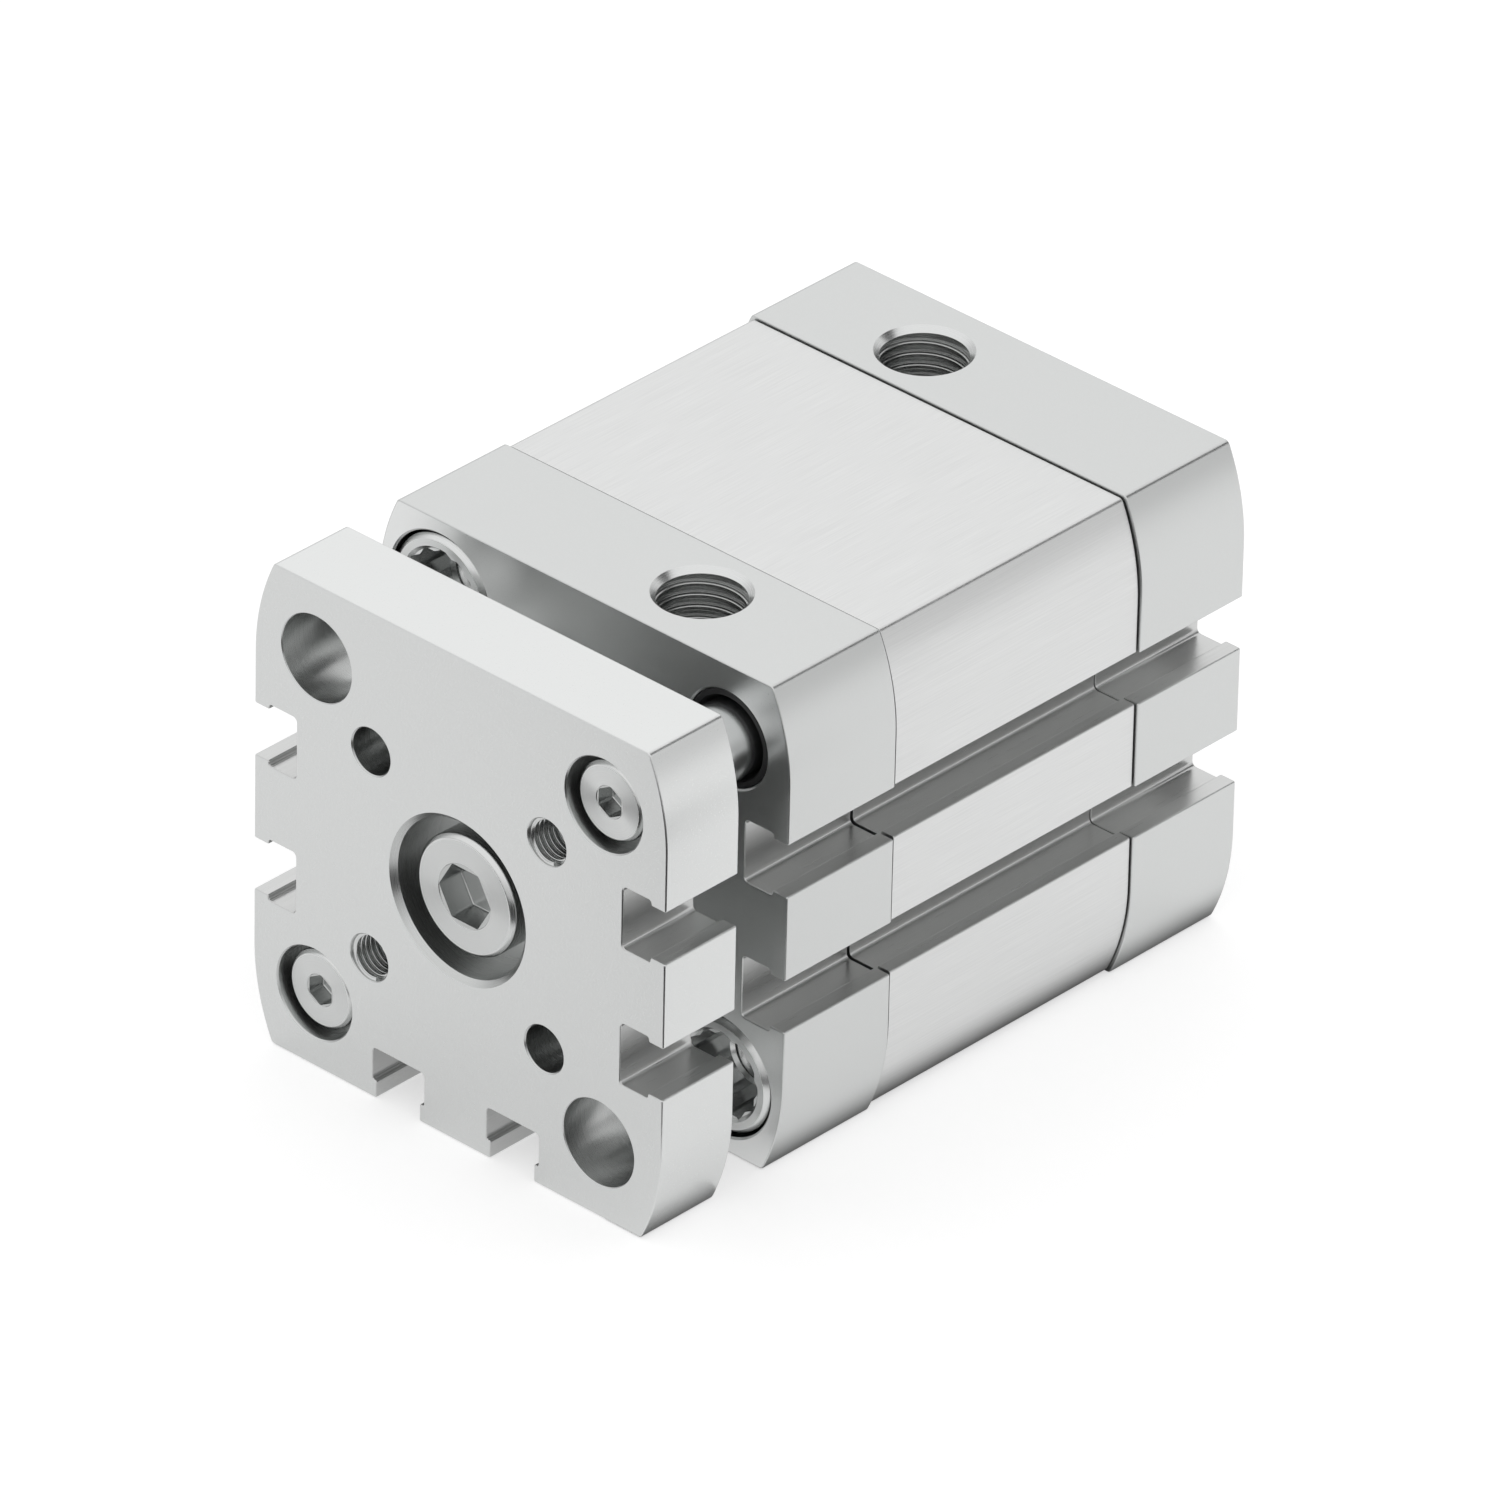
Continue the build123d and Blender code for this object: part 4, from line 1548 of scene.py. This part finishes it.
def plate_screws() -> list[SocketScrew]:
    """The screws in the plate's front: one in the middle and one at each guide rod.

    Returns:
        The three screws.
    """
    middle = SocketScrew("yoke screw", (0.0, 0.0), CENTRE_FACE, crown=-81.0, seat=-76.0,
                         tip=-56.0, head_radius=6.5, shank_radius=4.0, key=6.0, key_depth=3.1,
                         key_turn=0.0, chamfer=0.45, softness=0.3)
    return [middle, *(
        SocketScrew(f"{place} guide rod screw", (side * CORNER, side * CORNER), CORNER_FACE,
                    crown=-81.2, seat=-77.7, tip=-60.0, head_radius=4.25, shank_radius=2.5,
                    key=3.0, key_depth=2.0, key_turn=math.pi / 6.0, chamfer=0.4, softness=0.25)
        for place, side in GUIDES)]


# Guide rods and their wipers


@dataclass
class GuideRods:
    """The two ground guide rods, each with a threaded bore for its screw."""

    radius: float = 4.0
    front: float = -74.5
    back: float = -38.0
    chamfer: float = 0.6
    edge: float = 0.1
    bore_radius: float = 2.55
    bore_floor: float = -58.0

    def build(self) -> None:
        """Turn both rods and place them on the carriage."""
        corners = solid([
            (self.bore_floor, self.bore_radius), (self.front, self.bore_radius),
            (self.front, self.radius - self.chamfer),
            (self.front + self.chamfer, self.radius, self.edge),
            (self.back - self.chamfer, self.radius, self.edge),
            (self.back, self.radius - self.chamfer)])
        for place, side in GUIDES:
            rod = turned(f"{place} guide rod", corners, ROD, (side * CORNER, side * CORNER))
            placed(rod, "carriage", ROD)


@dataclass
class GuideWipers:
    """The rubber wipers round the guide rods in the bearing cap's face."""

    front: float = -64.8
    back: float = -62.4
    outer: float = 5.15
    outer_edge: float = 0.12
    inner: float = 4.05
    inner_edge: float = 0.05
    funnel: float = 0.5
    funnel_edge: float = 0.1
    funnel_depth: float = 1.2

    def build(self) -> None:
        """Turn both wipers and place them on the housing."""
        corners = [(self.back, self.inner), (self.back, self.outer),
                   (self.front, self.outer, self.outer_edge),
                   (self.front, self.inner + self.funnel, self.funnel_edge),
                   (self.front + self.funnel_depth, self.inner, self.inner_edge)]
        for place, side in GUIDES:
            wiper = turned(f"{place} guide wiper", corners, RUBBER,
                           (side * CORNER, side * CORNER))
            placed(wiper, "housing", RUBBER)


# Pieces inside the housing


@dataclass
class InnerPieces:
    """Solids that keep the shape they were drawn with and only take a finish."""

    finishes: dict[str, Finish] = field(default_factory=lambda: {
        "piston_rod": ROD, "piston_rod_bush": BEARING, "piston_rod_seal": RUBBER,
        "upper_guide_bush": BEARING, "lower_guide_bush": BEARING,
        "front_cap_o_ring": RUBBER, "rear_cap_o_ring": RUBBER,
        "front_cushion_ring": ELASTOMER, "rear_cushion_ring": ELASTOMER,
        "piston_front_half": PISTON, "piston_rear_half": PISTON,
        "piston_front_seal": RUBBER, "piston_rear_seal": RUBBER,
        "piston_guide_ring": WEAR_BAND, "piston_magnet": FERRITE, "piston_screw": SCREW_SIDE})

    def dress(self) -> None:
        """Give each solid its finish."""
        for name, finish in self.finishes.items():
            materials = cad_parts[name].data.materials
            materials.clear()
            materials.append(finish.material())
            log.info("%s: %s", name, finish.name)


# Camera, floor and lamps


def sheet(name: str, size: Point, place: Place, turn: Matrix,
          material: bpy.types.Material) -> bpy.types.Object:
    """A flat rectangle.

    Args:
        name: the object's name.
        size: its two sides.
        place: its middle.
        turn: its turn out of the level.
        material: its material.

    Returns:
        The rectangle.
    """
    u, v = size[0] / 2.0, size[1] / 2.0
    corners = [Vector((x, y, 0.0)) for x, y in ((-u, -v), (u, -v), (u, v), (-u, v))]
    made = new_object(name, corners, [[0, 1, 2, 3]], material)
    made.data.transform(Matrix.Translation(Vector(place) * MM) @ turn)
    return made


@dataclass
class Lamp:
    """A square lamp that faces the cylinder, with its power in watts."""

    name: str
    place: Place
    size: float
    power: float

    def build(self) -> None:
        """Hang the lamp."""
        light = bpy.data.lights.new(self.name, "AREA")
        light.size = self.size * MM
        light.energy = self.power
        holder = link_object(self.name, light)
        holder.location = Vector(self.place) * MM
        holder.rotation_euler = holder.location.to_track_quat("Z", "Y").to_euler()


@dataclass
class Flag:
    """A black card that only shows as a reflection: a painted dark reflection that draws the
    edges, and under the cylinder its painted shadow.

    It faces the given way, is turned about the upright axis by some degrees, and may fade away
    between two places in X.
    """

    name: str
    place: Place
    size: Point
    facing: Place = (0.0, 0.0, 1.0)
    turned_by: float = 0.0
    fade: Point | None = None
    tone: float = 0.03

    def build(self) -> None:
        """Stand the card."""
        look = Look(self.name)
        look.matt(self.tone)
        if self.fade:
            spot = look.node("ShaderNodeTexCoord").outputs["Object"]
            parts = look.node("ShaderNodeSeparateXYZ", {0: spot})
            start, end = self.fade
            cover = look.ramp(parts.outputs["X"], (start * MM, end * MM), (1.0, 0.0))
            look.feed(look.surface, {"Alpha": cover})
        turn = (Matrix.Rotation(math.radians(self.turned_by), 4, "Z")
                @ Vector(self.facing).to_track_quat("Z", "Y").to_matrix().to_4x4())
        card = sheet(self.name, self.size, self.place, turn, look.material)
        card.visible_camera = False
        card.visible_diffuse = False
        card.visible_shadow = False


@dataclass
class Floor:
    """A matt floor, lit a little by itself so that it shows white.

    In reflections its glow is painted light: dimmer near the front and left, and paler along a
    level way, between two places on it, to shade the cylinder's front faces.
    """

    height: float = -27.35
    size: float = 6000.0
    tone: float = 0.55
    paler_way: Place = (0.675, 0.738, 0.0)
    paler_from: float = -75.0
    paler_to: float = -5.0
    glow_near: float = 0.37
    glow_far: float = 0.54
    glow_seen: float = 0.56

    def build(self) -> None:
        """Lay the floor."""
        look = Look("floor")
        look.matt(self.tone)
        spot = look.node("ShaderNodeTexCoord").outputs["Object"]
        # Painted light: the glow that reflections show runs from dim near the front to pale
        # behind.
        across = look.vectors("DOT_PRODUCT", spot, self.paler_way, result="Value")
        level = look.ramp(across, (self.paler_from * MM, self.paler_to * MM),
                          (self.glow_near, self.glow_far))
        ray = look.node("ShaderNodeLightPath").outputs
        either = look.maths("MAXIMUM", ray["Is Glossy Ray"], ray["Is Transmission Ray"])
        mirrored = look.maths("MULTIPLY", level, either)
        strength = look.maths("MULTIPLY_ADD", ray["Is Camera Ray"], self.glow_seen, mirrored)
        glow = look.node("ShaderNodeEmission", {"Strength": strength})
        both = look.node("ShaderNodeAddShader", {0: look.surface.outputs["BSDF"],
                                                 1: glow.outputs["Emission"]})
        look.feed(look.tree.nodes["Material Output"], {"Surface": both.outputs["Shader"]})
        sheet("floor", (self.size, self.size), (0.0, 0.0, self.height),
                       Matrix.Identity(4), look.material)


@dataclass
class Sky:
    """A soft sky, dimmer near the horizon, and white where the camera sees it."""

    low: float = 0.60
    high: float = 1.0
    full_height: float = 0.5

    def build(self) -> None:
        """Spread the sky."""
        world = bpy.data.worlds.new("sky")
        bpy.context.scene.world = world
        world.use_nodes = True
        graph = Graph(world.node_tree)
        way = graph.node("ShaderNodeTexCoord").outputs["Generated"]
        parts = graph.node("ShaderNodeSeparateXYZ", {"Vector": way})
        level = graph.ramp(parts.outputs["Z"], (0.0, self.full_height), (self.low, self.high))
        seen = graph.node("ShaderNodeLightPath").outputs["Is Camera Ray"]
        graph.feed(world.node_tree.nodes["Background"],
                   {"Strength": graph.maths("MAXIMUM", level, seen)},
                   {"Color": (1.0, 1.0, 1.0, 1.0)})


@dataclass
class Camera:
    """The camera, where the picture was taken from."""

    place: Place = (987.14609, -1119.11647, 896.12833)
    right: Place = (0.72982194, 0.68339302, 0.01827337)
    upward: Place = (-0.36892317, 0.37120245, 0.85211762)
    back: Place = (0.57554811, -0.62862860, 0.52303122)
    focal_pixels: float = 17621.99
    image_pixels: float = 1500.0
    sensor: float = 36.0
    farthest: float = 20000.0

    def build(self) -> None:
        """Stand the camera."""
        lens = bpy.data.cameras.new("camera")
        lens.sensor_width = self.sensor
        lens.lens = self.focal_pixels / self.image_pixels * self.sensor
        lens.clip_end = self.farthest * MM
        holder = link_object("camera", lens)
        axes = Matrix((self.right, self.upward, self.back)).transposed().to_4x4()
        holder.matrix_world = Matrix.Translation(Vector(self.place) * MM) @ axes
        bpy.context.scene.camera = holder


@dataclass
class Studio:
    """The camera, a pale floor, a soft sky, a lamp and the black cards round the cylinder, which
    paint dark reflections and its shadow in them.
    """

    parts: list[Camera | Floor | Sky | Lamp | Flag] = field(default_factory=lambda: [
        Camera(), Floor(), Sky(),
        Lamp("key lamp", place=(-600.0, 450.0, 650.0), size=500.0, power=0.12),
        # Painted dark reflections, which draw the edges.
        Flag("back flag", place=(460.0, 630.0, 640.0), size=(520.0, 520.0),
             facing=(-0.46, -0.63, -0.64)),
        Flag("floor flag", place=(163.3, -207.0, -27.3), size=(330.0, 330.0), turned_by=47.5),
        # Painted shadow under the plate and the housing, seen only in their reflections.
        Flag("plate foot flag", place=(24.5, -76.5, -27.3), size=(9.0, 11.0),
             fade=(23.5, 28.5)),
        Flag("housing foot flag", place=(24.5, -27.5, -27.3), size=(9.0, 75.0),
             fade=(23.5, 28.5))])

    def build(self) -> None:
        """Set up the whole studio."""
        for part in self.parts:
            part.build()
        bpy.context.scene.view_settings.view_transform = "Standard"


def main() -> None:
    """Build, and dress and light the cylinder."""
    logging.basicConfig(level=logging.INFO, format="%(message)s")
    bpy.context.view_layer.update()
    outline, trees = SlottedOutline(), Trees()
    for block in (YokePlate(), BearingCap(), Barrel(), EndCap()):
        block.build(outline, trees)
    CollarScrews().build(trees)
    for piece in (*plate_screws(), GuideRods(), GuideWipers()):
        piece.build()
    InnerPieces().dress()
    Studio().build()


if __name__ == "__main__":
    main()
